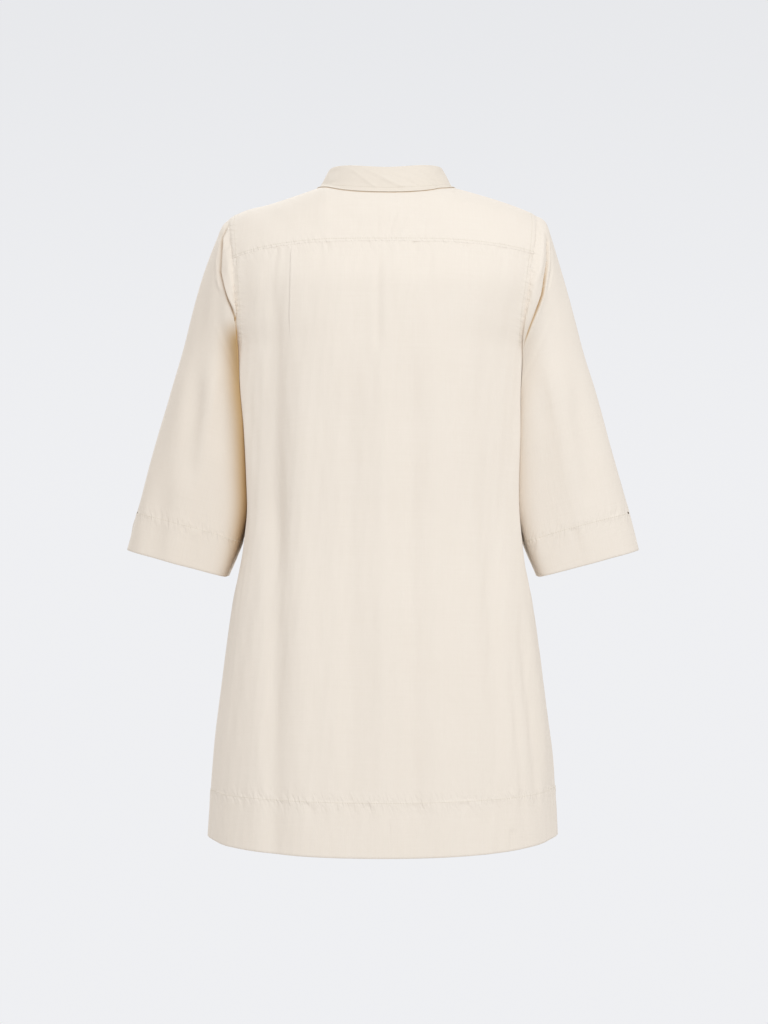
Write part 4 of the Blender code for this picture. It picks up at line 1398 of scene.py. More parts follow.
@dataclass
class SkirtPanel:
    """What the back and the front share: rows down to the hem, the turned hem and its stitches."""

    form: TorsoForm
    half: Half
    stitch_zone: float = 0.007
    step: float = 0.00035
    step_half: float = 0.0012
    side_roll: float = 0.0003
    side_roll_reach: float = 0.0016
    crinkle_hem: float = 0.012
    crinkle_seam: float = 0.013
    crinkle_side: float = 0.009
    hem_puckers: Puckers = Puckers(150, 0.020, 0.0032, 0.00060, 0.10, 31)
    above_puckers: Puckers = Puckers(120, 0.011, 0.0032, 0.00050, -0.30, 37)

    def outward(self) -> float:
        """The sign that turns the grid's own normals outward."""
        return -1.0 if self.half is Half.BACK else 1.0

    def stitch_height(self, share: Array) -> Array:
        """Height of the hem's line of stitches."""
        extra = 0.0
        if self.half is Half.BACK:
            extra = self.form.hem_back_extra * (1.0 - np.abs(share) ** 3.0)
        return self.form.hem_height(share) + self.form.hem_depth + extra

    def hem_relief(self, across: Array, height: Array, share: Array) -> Array:
        """The step where the hem begins, with short puckers above it and longer ones below it."""
        above = height - self.stitch_height(share)
        step = self.step * (1.0 - smooth((above / self.step_half + 1.0) / 2.0))
        relief = self.above_puckers(across, above) + self.hem_puckers(across, -above)
        to_hem = height - self.form.hem_height(share)
        return relief * smooth(to_hem / 0.006) + step

    def masks(self, height: Array, share: Array, from_edge: Array, below: Array) -> Array:
        """Where the cloth crinkles: at the hem's stitches, under a level seam and beside the armholes."""
        above = height - self.stitch_height(share)
        level = bell(above / self.crinkle_hem) + 0.6 * bell(below / self.crinkle_seam)
        beside = self.form.beside_sleeve(height) * 0.8 * bell((from_edge - 0.003) / self.crinkle_side)
        return np.stack([level, beside], axis=-1)

    def side_relief(self, from_edge: Array, height: Array) -> Array:
        """How the cloth turns in at the side seam, below the armpit."""
        below = smooth((self.form.armpit - height) / 0.01)
        return -self.side_roll * bell(from_edge / self.side_roll_reach) * below

    def wall(self, height: Array, share: Array) -> Array:
        """The wall: two layers in the hem, one elsewhere."""
        above = height - self.stitch_height(share)
        return CLOTH + (HEM_CLOTH - CLOTH) * (1.0 - smooth((above + HEM_EDGE) / (2.0 * HEM_EDGE)))


@dataclass
class BackPanel(SkirtPanel):
    """The back, from under the yoke's edge to the hem."""

    half: Half = Half.BACK
    columns: int = 244
    tuck: float = 0.0030
    tuck_depth: float = 0.00058
    fine_rows: float = 0.026
    swell: Swell = Swell(0.00055, 0.075, 0.34, 41)
    fine_swell: Swell = Swell(0.00016, 0.020, 0.16, 43)
    yoke_puckers: Puckers = Puckers(110, 0.016, 0.0023, 0.00058, 0.02, 47)
    long_puckers: Puckers = Puckers(26, 0.042, 0.0034, 0.00075, 0.0, 53)
    armhole_puckers: Puckers = Puckers(40, 0.009, 0.0028, 0.00045, 0.2, 59)
    creases: tuple[Crease, ...] = table(
        Crease,
        (-0.076, -0.22, -0.006, -0.006, -0.006, 0.005, -0.0016),
        (-0.074, -0.5, -0.133, -0.133, -0.133, 0.012, -0.0052),
        (-0.3, -0.9, -0.132, -0.132, -0.134, 0.013, -0.0058),
        (-0.09, -0.9, -0.098, -0.099, -0.096, 0.016, 0.0026),
        (-0.15, -0.86, -0.035, -0.039, -0.038, 0.014, -0.0026),
        (-0.09, -0.86, 0.001, -0.001, -0.003, 0.011, 0.0022),
        (-0.12, -0.86, 0.036, 0.035, 0.038, 0.011, -0.0028),
        (-0.15, -0.86, 0.064, 0.064, 0.068, 0.012, 0.0018),
        (-0.08, -0.7, 0.124, 0.126, 0.133, 0.013, -0.0026),
        (-0.38, -0.9, 0.134, 0.138, 0.142, 0.012, -0.003),
        (-0.52, -0.795, 0.164, 0.179, 0.19, 0.0045, -0.0022),
        (-0.5, -0.76, 0.172, 0.19, 0.201, 0.0055, 0.0018),
        (-0.56, -0.8, 0.154, 0.164, 0.172, 0.0045, -0.0018),
        (-0.78, -0.815, 0.156, 0.156, 0.155, 0.0035, -0.0014),
        (-0.64, -0.8, 0.118, 0.124, 0.128, 0.0065, -0.0014),
    )

    def patch(self) -> tuple[Patch, Array, Array]:
        """The back's outer side.

        Returns:
            The patch, its shares and its heights.
        """
        form = self.form
        share = np.sin(np.linspace(-math.pi / 2.0, math.pi / 2.0, self.columns + 1))[None, :]
        seam, stitch = form.yoke_seam_height(share), self.stitch_height(share)
        marks = [seam + self.tuck, seam - self.fine_rows, np.full_like(share, form.armpit),
                 stitch + self.stitch_zone, stitch - self.stitch_zone, form.hem_height(share)]
        height = stretched_levels(marks, (20, 46, 164, 14, 26))
        patch = Patch(form.panel(self.half, share, height), self.outward())
        across, run, from_edge, below = patch.across(), patch.down(), patch.from_edge(), seam - height
        depth = self.swell(across, run) * smooth(below / 0.05)
        depth += self.fine_swell(across, run) * smooth(below / 0.02)
        depth += self.yoke_puckers(across, below)
        depth += self.long_puckers(across, below)
        sleeve_side = form.beside_sleeve(height)
        depth += self.armhole_puckers(run, from_edge - 0.002) * sleeve_side
        depth += crease_depth(self.creases, patch.points[..., 0], height)
        depth += edge_band(from_edge, sleeve_side)
        depth += self.hem_relief(across, height, share)
        depth += self.side_relief(from_edge, height)
        tucked = 1.0 - smooth((below + 0.0008) / 0.0022)
        depth = depth * smooth((below + 0.001) / 0.003) - self.tuck_depth * tucked
        patch.crinkle = self.masks(height, share, from_edge, below)
        return patch.moved(depth), share, height

    def build(self, finish: bpy.types.Material) -> Patch:
        patch, share, height = self.patch()
        piece = cloth_mesh("back_cloth", patch, self.wall(height, share))
        settle(piece, finish, Slot.CLOTH, "back")
        return patch


@dataclass
class FrontPanel(SkirtPanel):
    """The front, from the neckline and shoulder seams to the hem."""

    half: Half = Half.FRONT
    neck_steps: int = 52
    shoulder_steps: int = 56
    settle_height: float = 0.12
    swell: Swell = Swell(0.00060, 0.085, 0.34, 61)
    creases: tuple[Crease, ...] = table(
        Crease,
        (-0.12, -0.48, 0.07, 0.074, 0.076, 0.01, -0.0016),
        (-0.2, -0.64, -0.064, -0.068, -0.072, 0.011, -0.0018),
        (-0.36, -0.79, 0.024, 0.02, 0.018, 0.01, -0.0014),
        (-0.34, -0.78, -0.018, -0.022, -0.02, 0.011, 0.0014),
        (-0.15, -0.42, 0.134, 0.128, 0.124, 0.008, -0.0014),
        (-0.16, -0.44, -0.136, -0.13, -0.126, 0.008, -0.0015),
        (-0.46, -0.79, 0.13, 0.14, 0.148, 0.009, -0.0015),
        (-0.48, -0.79, -0.128, -0.138, -0.146, 0.009, -0.0014),
    )
    hem_puckers: Puckers = Puckers(150, 0.020, 0.0032, 0.00060, -0.10, 67)
    above_puckers: Puckers = Puckers(120, 0.011, 0.0032, 0.00050, 0.30, 71)

    def patch(self) -> tuple[Patch, Array, Array]:
        """The front's outer side.

        Returns:
            The patch, its shares and its heights.
        """
        form = self.form
        share = form.neck_columns(self.neck_steps, self.shoulder_steps)
        stitch, top = self.stitch_height(share), form.top_edge(share, self.half)
        ease = 0.5 - 0.5 * np.cos(np.linspace(0.0, math.pi, 65))[:-1, None]
        upper = top + (form.armpit - top) * ease
        marks = [np.full_like(share, form.armpit), stitch + self.stitch_zone, stitch - self.stitch_zone,
                 form.hem_height(share)]
        height = np.concatenate([upper, stretched_levels(marks, (140, 12, 20))])
        even = np.sin(np.linspace(-math.pi / 2.0, math.pi / 2.0, share.size))[None, :]
        settled = smooth((form.neck_height(np.array(0.0), self.half) - height) / self.settle_height)
        share = share * (1.0 - settled) + even * settled
        patch = Patch(form.panel(self.half, share, height), self.outward(), anchor=64)
        across, from_edge = patch.across(), patch.from_edge()
        depth = self.swell(patch.points[..., 0], height) * smooth((-0.10 - height) / 0.08)
        depth += crease_depth(self.creases, patch.points[..., 0], height)
        depth += edge_band(from_edge, form.beside_sleeve(height))
        placket = smooth((np.abs(across) - 0.018) / 0.02) + smooth((-0.30 - height) / 0.02)
        depth *= np.minimum(placket, 1.0)
        patch.crinkle = self.masks(height, share, from_edge, np.full(height.shape, 1.0))
        depth += self.hem_relief(across, height, share)
        depth += self.side_relief(from_edge, height)
        return patch.moved(depth), share, height

    def build(self, finish: bpy.types.Material) -> Patch:
        patch, share, height = self.patch()
        piece = cloth_mesh("front_cloth", patch, self.wall(height, share))
        settle(piece, finish, Slot.CLOTH, "front")
        return patch


# ---------------------------------------------------------------- sleeves
@dataclass
class Sleeve:
    """A set-in sleeve: a tube from the armhole loop to the turned cuff hem."""

    form: TorsoForm
    side: Side
    creases: tuple[PathCrease, ...]
    lean: float
    squareness: float
    cap_fullness: float
    # painted shade: how strongly it is painted beside the body
    shaded: float
    seed: int
    # where the painted shade beside the body reaches, and from what height and how strongly it is painted
    # along creases deeper than shaded_depth; low_rise and low_fade fade it in below the armpit
    shaded_reach: float = 0.016
    shaded_from: float = -0.010
    shaded_fade: float = 0.045
    shaded_least: float = 0.2
    shaded_depth: float = -0.003
    low_rise: float = 0.040
    low_fade: float = 0.035
    # shade painted evenly over the whole sleeve
    tone: float = 0.0
    back_limit: float = 0.010
    back_fade: float = 0.020
    press_reach: float = 0.006
    hem_step: float = 0.00035
    hem_step_half: float = 0.0012
    crowding: float = 0.42
    columns: int = 212
    hem_share: float = 0.095
    hem_share_tilt: float = -0.015
    cap_end: float = 0.26
    blend: float = 0.30
    gap: float = 0.0001
    drop: float = 0.00005
    tuck: float = 0.0016
    underarm_blend: float = 0.035
    clear_share: float = 0.06
    clearance: float = 0.0004
    fold_radius: float = 0.06
    fold_fade: float = 0.25
    ease_reach: float = 0.024
    ease_rounds: int = 90
    swell: Swell = Swell(0.00045, 0.070, 0.22, 0)
    cap_puckers: Puckers = Puckers(120, 0.012, 0.0024, 0.0006, 0.0, 1)
    hem_puckers: Puckers = Puckers(80, 0.018, 0.0032, 0.00060, 0.1, 2)
    above_puckers: Puckers = Puckers(70, 0.011, 0.0032, 0.00055, -0.25, 3)

    @property
    def sign(self) -> float:
        """-1 for the left sleeve, 1 for the right one."""
        return float(self.side.value)

    def seeded(self, relief: Any) -> Any:
        """Swells or puckers drawn from this sleeve's own seed."""
        return replace(relief, seed=self.seed + relief.seed)

    def armhole_edge(self, half: Half) -> tuple[Array, Array]:
        """Points down one half of the armhole, from shoulder to armpit.

        Args:
            half: back or front.

        Returns:
            Points beside the body's edge, and points tucked in under it.
        """
        form, sign = self.form, self.sign
        top = float(form.shoulder(sign * form.shoulder_half_width))
        height = top + (form.armpit - top) * (0.5 - 0.5 * np.cos(np.linspace(0.0, math.pi, 97)))
        angle = turned(form.angle_of(np.full(height.shape, sign), height), half)
        onward = -sign * STEP if half is Half.FRONT else sign * STEP
        points = form.skin(angle, height)
        tangents = unit(form.skin(angle + onward, height) - points)
        low = smooth((form.armpit + self.underarm_blend - points[:, 2:]) / self.underarm_blend)
        away = unit(tangents * (1.0 - low) + form.normal(angle, height) * low)
        level = points + away * self.gap - form.normal(angle, height) * (1.0 - low) * self.drop
        under = level - away * self.tuck - form.normal(angle, height) * (1.0 - low) * self.drop * 2.0
        return level, under

    def crowded(self, turn: Array) -> Array:
        """Angles drawn together at the sleeve's two inner corners: a + c * sin(a)^2, mirrored in front."""
        return turn + np.where(turn < math.pi, 1.0, -1.0) * self.crowding * np.sin(turn) ** 2

    def armhole_loop(self, which: int) -> Array:
        """A ring at the armhole, even in length over each half, from the shoulder over the back.

        Args:
            which: 0 for the ring beside the body's edge, 1 for the one under it.

        Returns:
            The ring's points.
        """
        rear, fore = (self.armhole_edge(half)[which] for half in (Half.BACK, Half.FRONT))
        steps = self.columns // 2
        parts = []
        for points, flip in ((rear, False), (fore, True)):
            run = run_along(points)
            at = run[-1] * self.crowded(np.linspace(0.0, math.pi, steps + 1)) / math.pi
            line = read_line(points, run, at)
            parts.append(line[::-1][:-1] if flip else line[:-1])
        return np.concatenate(parts)

    def fold_depth(self, angle: Array, along: Array) -> Array:
        """How far the large folds push the sleeve's cloth out."""
        total = np.zeros(np.broadcast(angle, along).shape)
        for fold in SLEEVE_FOLDS:
            if fold.side is not self.side:
                continue
            share = (along - fold.start) / (fold.end - fold.start)
            turn = (fold.end_angle - fold.start_angle) * np.clip(share, 0.0, 1.0)
            away = off_turn(angle, np.radians(fold.start_angle + turn))
            ends = smooth(share / self.fold_fade)
            ends = ends * smooth((1.0 - share) / self.fold_fade + (fold.end >= 1.0))
            total += fold.depth * bell(away * self.fold_radius / fold.width) * ends
        return total

    def ring(self, along: Array, angle: Array) -> Array:
        """Points of a section: a tilted superellipse whose inner end leans forward behind the body.

        Args:
            along: share of the sleeve's length.
            angle: angle from the outer edge over the back.

        Returns:
            The points.
        """
        read = {name: Through(SLEEVE, "along", name)(along) for name in SleeveStation._fields[1:]}
        fading = 1.0 - smooth(along / self.cap_end)
        outer = read["outer"] + self.cap_fullness * smooth(along / 0.02) * fading
        inner = read["inner"] - Through(TUCKS, "along", "tuck")(along)
        inner = inner - self.form.trim(self.sign, read["inner_height"])
        middle, half = (outer + inner) / 2.0, (outer - inner) / 2.0
        level, rise = ((read["outer_height"] + read["inner_height"]) / 2.0,
                       (read["outer_height"] - read["inner_height"]) / 2.0)
        cosine, sine = np.cos(angle), np.sin(angle)
        power = np.where(cosine < 0.0, self.squareness, 2.0)
        reach = (np.abs(cosine) ** power + np.abs(sine) ** power) ** (-1.0 / power)
        cosine, sine = cosine * reach, sine * reach
        across = middle + half * cosine
        height = level + rise * cosine
        shear = self.lean * smooth(along / 0.16) * smooth((1.25 - along) / 0.5)
        forward = read["forward"] - read["half_depth"] * sine - shear * np.minimum(cosine, 0.0)
        return np.stack([self.sign * across, forward, height], axis=-1)

    def clear(self, points: Array, gap: Array, pressed: Array | None = None) -> tuple[Array, Array]:
        """Points pushed sideways until they stand the gap off the body.

        Args:
            points: the sleeve's points.
            gap: how far they stay off.
            pressed: where the cloth lies against the body, so that it is drawn in as well as pushed out.

        Returns:
            The moved points, and where they lie against the body.
        """
        reach = self.form.side_reach(self.sign, points[..., 1], points[..., 2]) + gap
        short = reach - np.abs(points[..., 0])
        held = short > 0.0
        if pressed is not None:
            held = held | (pressed & (short > -self.press_reach))
        moved = points.copy()
        moved[..., 0] += self.sign * np.where(held, short, 0.0)
        return moved, held

    def relaxed(self, points: Array) -> Array:
        """Points round the armpit drawn, again and again, to the middle of the four beside them.

        Args:
            points: the sleeve's points, row by row.

        Returns:
            The points with the cloth's corner there eased, its first row kept.
        """
        weight = bell((points[..., 2:] - self.form.armpit) / self.ease_reach)[1:-1]
        eased = points.copy()
        for _ in range(self.ease_rounds):
            beside = np.roll(eased, 1, axis=1)[1:-1] + np.roll(eased, -1, axis=1)[1:-1]
            middle = (eased[:-2] + eased[2:] + beside) / 4.0
            eased[1:-1] += weight * (middle - eased[1:-1])
        return eased

    def shading(self, points: Array) -> Array:
        """Where shade is painted into the sleeve's colour: along the cap's deeper creases, beside the body,
        and evenly all over.
        """
        across, height = points[..., 0], points[..., 2]
        deep = sum(path_depth([bottom_mark(crease)], across, height, self.sign)
                   for crease in self.creases if crease.depth < self.shaded_depth)
        off = np.abs(across) - self.form.edge(np.full(height.shape, self.sign), height)
        low = smooth((self.form.armpit + self.low_rise - height) / self.low_fade)
        lower = smooth((self.shaded_from - height) / self.shaded_fade)
        deep = deep * (self.shaded_least + (1.0 - self.shaded_least) * lower)
        return np.clip(deep + self.shaded * bell(off / self.shaded_reach) * low + self.tone, 0.0, 1.0)

    def patch(self) -> tuple[Patch, Array, int]:
        """The sleeve's outer side.

        Returns:
            The patch, the distance past the stitches, and the row of the stitches.
        """
        even = 1.0 - self.hem_share
        level = spaced((0.0, 0.004, 2), (0.004, 0.07, 72), (0.07, 0.25, 70), (0.25, even - 0.016, 62),
                       (even - 0.016, even, 8), (even, even + 0.016, 8), (even + 0.016, 1.0, 18))[:, None]
        angle = self.crowded(np.linspace(0.0, 2.0 * math.pi, self.columns, endpoint=False))[None, :]
        stitch = even - self.hem_share_tilt * np.cos(angle)
        along = np.where(level < even, level * stitch / even,
                         1.0 - (1.0 - level) * (1.0 - stitch) / (1.0 - even))
        row = int(np.argmin(np.abs(level[:, 0] - even)))
        start = self.armhole_loop(0)
        fade = 1.0 - smooth(along / self.blend)
        points = self.ring(along, angle)
        points = points + (start[None] - self.ring(np.zeros((1, 1)), angle)) * fade[..., None]
        patch = Patch(points, self.sign, True, anchor=row)
        patch = patch.moved(self.fold_depth(angle, along) * (1.0 - fade))
        gap = self.clearance * smooth(along / self.clear_share)
        points, pressed = self.clear(patch.points, gap)
        points[0] = self.armhole_loop(1)
        patch = replace(patch, points=points)
        across, past = patch.across()[:, :-1], patch.down()[:, :-1]
        run = past - past[:1]
        behind = smooth((self.back_limit - patch.points[..., 1]) / self.back_fade)
        depth = path_depth(self.creases, patch.points[..., 0], patch.points[..., 2], self.sign) * behind
        depth += self.seeded(self.swell)(across, run) * smooth(along / 0.06)
        depth += self.seeded(self.cap_puckers)(across, run - 0.001)
        relief = self.seeded(self.hem_puckers)(across, past) + self.seeded(self.above_puckers)(across, -past)
        depth += relief * smooth((past[-1:] - past) / 0.006)
        depth += self.hem_step * smooth((past / self.hem_step_half + 1.0) / 2.0)
        patch.crinkle = np.stack([bell(past / 0.011) + bell(run / 0.012), np.zeros_like(run)], axis=-1)
        # Painted shade: golden brown along the cap's deep creases and beside the body, on the back only.
        patch.deep = self.shading(patch.points) * behind
        patch = patch.moved(depth * smooth((along - 0.002) / 0.008))
        points, _ = self.clear(patch.points, gap * 0.7, pressed)
        points = self.relaxed(points)
        points[0] = self.armhole_loop(1)
        return replace(patch, points=points), past, row

    def build(self, finish: bpy.types.Material) -> tuple[Patch, int]:
        patch, past, row = self.patch()
        name = f"sleeve_{self.side.name.lower()}"
        hem = smooth((past + HEM_EDGE) / (2.0 * HEM_EDGE))
        piece = cloth_mesh(name + "_cloth", patch, CLOTH + (HEM_CLOTH - CLOTH) * hem)
        settle(piece, finish, Slot.CLOTH, name)
        return patch, row


LEFT_CREASES = (
    PathCrease(((-0.189, -0.04), (-0.1912, -0.0477), (-0.1977, -0.0633), (-0.1986, -0.0894),
                (-0.1993, -0.1075), (-0.1944, -0.1255), (-0.1895, -0.1419), (-0.1826, -0.1582),
                (-0.178, -0.168), (-0.1766, -0.186), (-0.1756, -0.205)),
               width=0.0013, depth=-0.0046, fall=-0.0014, reach=0.007, lip=0.0022),
    PathCrease(((-0.2002, -0.06), (-0.2042, -0.0927), (-0.2026, -0.1161), (-0.1977, -0.1357)),
               width=0.0024, depth=0.0022),
    PathCrease(((-0.216, -0.15), (-0.225, -0.22), (-0.24, -0.38)), width=0.01, depth=-0.0026),
    PathCrease(((-0.233, -0.2), (-0.247, -0.29), (-0.262, -0.4)), width=0.012, depth=0.0018),
)
RIGHT_CREASES = (
    PathCrease(((0.1985, -0.052), (0.2029, -0.0666), (0.2025, -0.0927), (0.1985, -0.1157),
                (0.1953, -0.1353), (0.1905, -0.1484), (0.1812, -0.1713), (0.1755, -0.186),
                (0.1722, -0.1935), (0.17, -0.205)),
               width=0.0009, depth=-0.0036, fall=-0.0008, reach=0.006, lip=0.0016, toward=-1.0),
    PathCrease(((0.2071, -0.0649), (0.2062, -0.1059), (0.201, -0.1353)), width=0.0016, depth=-0.0014),
    PathCrease(((0.196, -0.05), (0.1965, -0.085), (0.19, -0.12)), width=0.003, depth=0.0014),
    PathCrease(((0.233, -0.2), (0.244, -0.29), (0.256, -0.4)), width=0.012, depth=-0.0016),
)


# ---------------------------------------------------------------- collar
class LeafFold(NamedTuple):
    """A soft slanting fold on the collar's leaf, by where it starts across."""

    across: float
    slope: float
    width: float
    depth: float


@dataclass
class Collar:
    """The band sewn round the neck, and the leaf that turns down over it."""

    form: TorsoForm
    band_height: float = 0.0208
    lean: float = 0.0032
    shift: float = 0.0038
    overlap_angle: float = 9.0
    inset: float = 0.00045
    lap: float = 0.0018
    lap_start: float = 160.0
    lap_span: float = 11.0
    seam_gap: float = 0.00045
    lap_gap: float = 0.0009
    gap: float = 0.0003
    roll: float = 0.0022
    roll_out: float = 0.00275
    roll_rise: float = 0.0002
    roll_drop: float = 0.0005
    bow: float = 0.0016
    clearance: float = 0.0012
    side_bulge: float = 0.0036
    half_opening: float = 171.0
    coarse_columns: int = 64
    coarse_rows: int = 6
    leaf_columns: int = 320
    leaf_rows: int = 48
    stitch_inset: float = 0.0045
    stitch_width: float = 0.0009
    stitch_sink: float = 0.0003
    carrier_share: float = 0.62
    carrier_bottom: float = -0.15
    fold_start: float = 0.015
    swell: Swell = Swell(0.00045, 0.075, 0.05, 97)
    folds: tuple[LeafFold, ...] = table(
        LeafFold,
        (-0.016, 1.9, 0.0045, 0.0011),
        (0.006, 1.7, 0.004, -0.0009),
        (0.026, 1.5, 0.005, 0.001),
        (-0.04, 1.4, 0.004, 0.0007),
        (0.052, 1.3, 0.0045, -0.0007),
    )

    def neck_seam(self, angle: Array) -> Array:
        """A point of the neck seam, by the angle round the neck from centre back."""
        form = self.form
        across = form.neck_half_width * np.sin(angle)
        rear = np.cos(angle) >= 0.0
        height = np.where(rear, form.neck_height(across, Half.BACK), form.neck_height(across, Half.FRONT))
        body_angle = np.arcsin(np.clip(across / form.half_width(height), -1.0, 1.0))
        return form.skin(np.where(rear, body_angle, math.pi - body_angle), height)

    def neck_out(self, angle: Array) -> Array:
        """Level direction away from the neck."""
        return np.stack([np.sin(angle), -np.cos(angle), np.zeros_like(angle)], axis=-1)

    def band_grid(self, angle: Array, rows: int) -> Array:
        """Outer side of the band: square to the neck seam, leaning in, its right end lapped over.

        Args:
            angle: angles round the neck.
            rows: steps from the seam to the top.

        Returns:
            The points, from the seam up.
        """
        along = self.neck_seam(angle + NECK_STEP) - self.neck_seam(angle - NECK_STEP)
        rise = unit(np.cross(self.neck_out(angle), along))
        over = smooth((np.degrees(angle) - self.lap_start) / self.lap_span)
        level = np.linspace(0.0, 1.0, rows + 1)[:, None, None]
        inward = (np.array([self.shift, 0.0, 0.0]) - self.neck_out(angle) * self.lean) * level
        lift = self.seam_gap + self.lap_gap * over
        out = self.lap * over - self.inset
        base = self.neck_seam(angle) + rise * lift[:, None] + self.neck_out(angle) * out[:, None]
        return base + rise * self.band_height * level + inward

    def carrier(self) -> tuple[Array, Array]:
        """Closely spaced points of the yoke and the upper front, with their normals."""
        form = self.form
        points, normals = [], []
        share = np.linspace(-self.carrier_share, self.carrier_share, 121)[None, :]
        down = (np.linspace(0.0, 1.0, 90) ** 1.6)[:, None]
        for half in Half:
            top = form.top_edge(share, half)
            height = top + (self.carrier_bottom - top) * down
            angle = turned(form.angle_of(share, height), half)
            points.append(form.skin(angle, height).reshape(-1, 3))
            normals.append(form.normal(angle, height).reshape(-1, 3))
        return np.concatenate(points), np.concatenate(normals)

    def settled(self, points: Array, hold: Array) -> Array:
        """Points moved along the nearest normal of the shoulders until they lie on them.

        Args:
            points: rows by columns by 3.
            hold: for each row, 1 where it lies down fully and 0 where it is only kept clear.

        Returns:
            The moved points.
        """
        places, normals = self.carrier()
        flat = points.reshape(-1, 3).copy()
        weight = np.broadcast_to(hold, points.shape[:2]).reshape(-1)
        for start in range(0, len(flat), BATCH):
            part = flat[start:start + BATCH]
            nearest = np.argmin(((part[:, None] - places[None]) ** 2).sum(-1), axis=1)
            short = self.clearance - ((part - places[nearest]) * normals[nearest]).sum(-1)
            lift = np.where(short > 0.0, short, short * weight[start:start + BATCH])
            flat[start:start + BATCH] = part + normals[nearest] * lift[:, None]
        return flat.reshape(points.shape)

    def leaf_patch(self) -> Patch:
        """The leaf: over the top of the band, then down and out to its free edge, softly creased."""
        degrees = np.linspace(-self.half_opening, self.half_opening, self.coarse_columns + 1)
        angle = np.radians(degrees)
        band = self.band_grid(angle, 1)
        top, out = band[1], Patch(band).normals()[1]
        rise = unit(band[1] - band[0])
        lift = LEAF_CLOTH + self.gap
        columns = [Through(LEAF_EDGE, "angle", name)(np.abs(degrees)) for name in LeafPoint._fields[1:]]
        edge = np.stack(columns, axis=-1)
        edge[:, 0] = edge[:, 0] * np.sign(angle) + self.shift
        rear = (np.abs(degrees) < 90.0)[:, None]
        bulge = self.neck_out(angle) * (self.side_bulge * np.sin(angle)[:, None] ** 2 * rear)
        crown = top + bulge + out * (self.roll / 2.0) + rise * (lift + self.roll_rise)
        rows = [top - out * LEAF_CLOTH + rise * lift, crown]
        shoulder = top + bulge + out * self.roll_out - rise * self.roll_drop
        for step in np.linspace(0.0, 1.0, self.coarse_rows + 1):
            bowed = self.bow * math.sin(math.pi * step) * np.cos(angle)[:, None] ** 2
            rows.append(shoulder + (edge - shoulder) * step + out * bowed)
        points = np.stack(rows)
        late = 0.35 + 0.47 * np.sin(angle)[None, :] ** 2
        hold = smooth((np.linspace(0.0, 1.0, self.coarse_rows + 1)[1:, None] - late) / (1.0 - late))
        points[-self.coarse_rows:] = self.settled(points[-self.coarse_rows:], hold)
        patch = Patch(refined(points, self.leaf_rows + 1, self.leaf_columns + 1), -1.0)
        across, run = patch.across(), patch.down()
        hang = smooth((run - 0.007) / 0.010) * smooth((run[-1:] - run - 0.0015) / 0.008)
        depth = self.swell(across, run) * hang
        for fold in self.folds:
            off = (across - fold.across - (run - self.fold_start) * fold.slope) / fold.width
            depth += fold.depth * bell(off) * smooth((run - 0.004) / 0.006) * hang
        line = bell((run[-1:] - run - self.stitch_inset) / self.stitch_width)
        return patch.moved(depth - self.stitch_sink * line)

    def band_patch(self) -> Patch:
        """The band, from the neck seam to its top."""
        reach = 180.0 + self.overlap_angle / 2.0
        angle = np.radians(np.linspace(-reach, reach, 281))
        return Patch(self.band_grid(angle, 16))

    def build(self, finish: bpy.types.Material) -> Patch:
        leaf = self.leaf_patch()
        piece = cloth_mesh("collar_leaf_cloth", leaf, LEAF_CLOTH)
        settle(piece, finish, Slot.COLLAR, "collar_fall")
        band = cloth_mesh("collar_band_cloth", self.band_patch(), LEAF_CLOTH)
        settle(band, finish, Slot.COLLAR, "collar_stand")
        return leaf


# ---------------------------------------------------------------- placket and buttons
@dataclass
class Placket:
    """A strip down the front that covers the neck slit."""

    form: TorsoForm
    width: float = 0.030
    bottom: float = -0.292
    top_gap: float = 0.0015
    lift: float = 0.0005
    carrier_wall: float = 0.0011
    stitch_inset: float = 0.0022
    stitch_width: float = 0.0008
    stitch_sink: float = 0.00025
    ripple: float = 0.00015
    columns: int = 24
    rows: int = 150

    def surface(self, across: Array, height: Array) -> tuple[Array, Array]:
        """Points on the placket's outer side with their normals."""
        angle = math.pi - np.arcsin(across / self.form.half_width(height))
        normals = self.form.normal(angle, height)
        return self.form.skin(angle, height) + normals * (self.carrier_wall + self.lift), normals

    def patch(self) -> Patch:
        """The strip, its long edges pressed a little thinner than its middle."""
        across = np.linspace(-self.width / 2.0, self.width / 2.0, self.columns + 1)[None, :]
        top = self.form.neck_height(across, Half.FRONT) - self.top_gap
        share = np.linspace(0.0, 1.0, self.rows + 1)[:, None]
        points, _ = self.surface(across, top + (self.bottom - top) * share)
        patch = Patch(points, 1.0)
        sideways, run = patch.across(), patch.down()
        from_edge = self.width / 2.0 - np.abs(sideways)
        line = bell((from_edge - self.stitch_inset) / self.stitch_width)
        depth = -self.stitch_sink * line + self.ripple * np.sin(sideways * 900.0 + run * 120.0) * line
        return patch.moved(depth)

    def build(self, finish: bpy.types.Material) -> Patch:
        patch = self.patch()
        piece = cloth_mesh("placket_cloth", patch, CLOTH * 1.3)
        settle(piece, finish, Slot.CLOTH, "placket")
        return patch


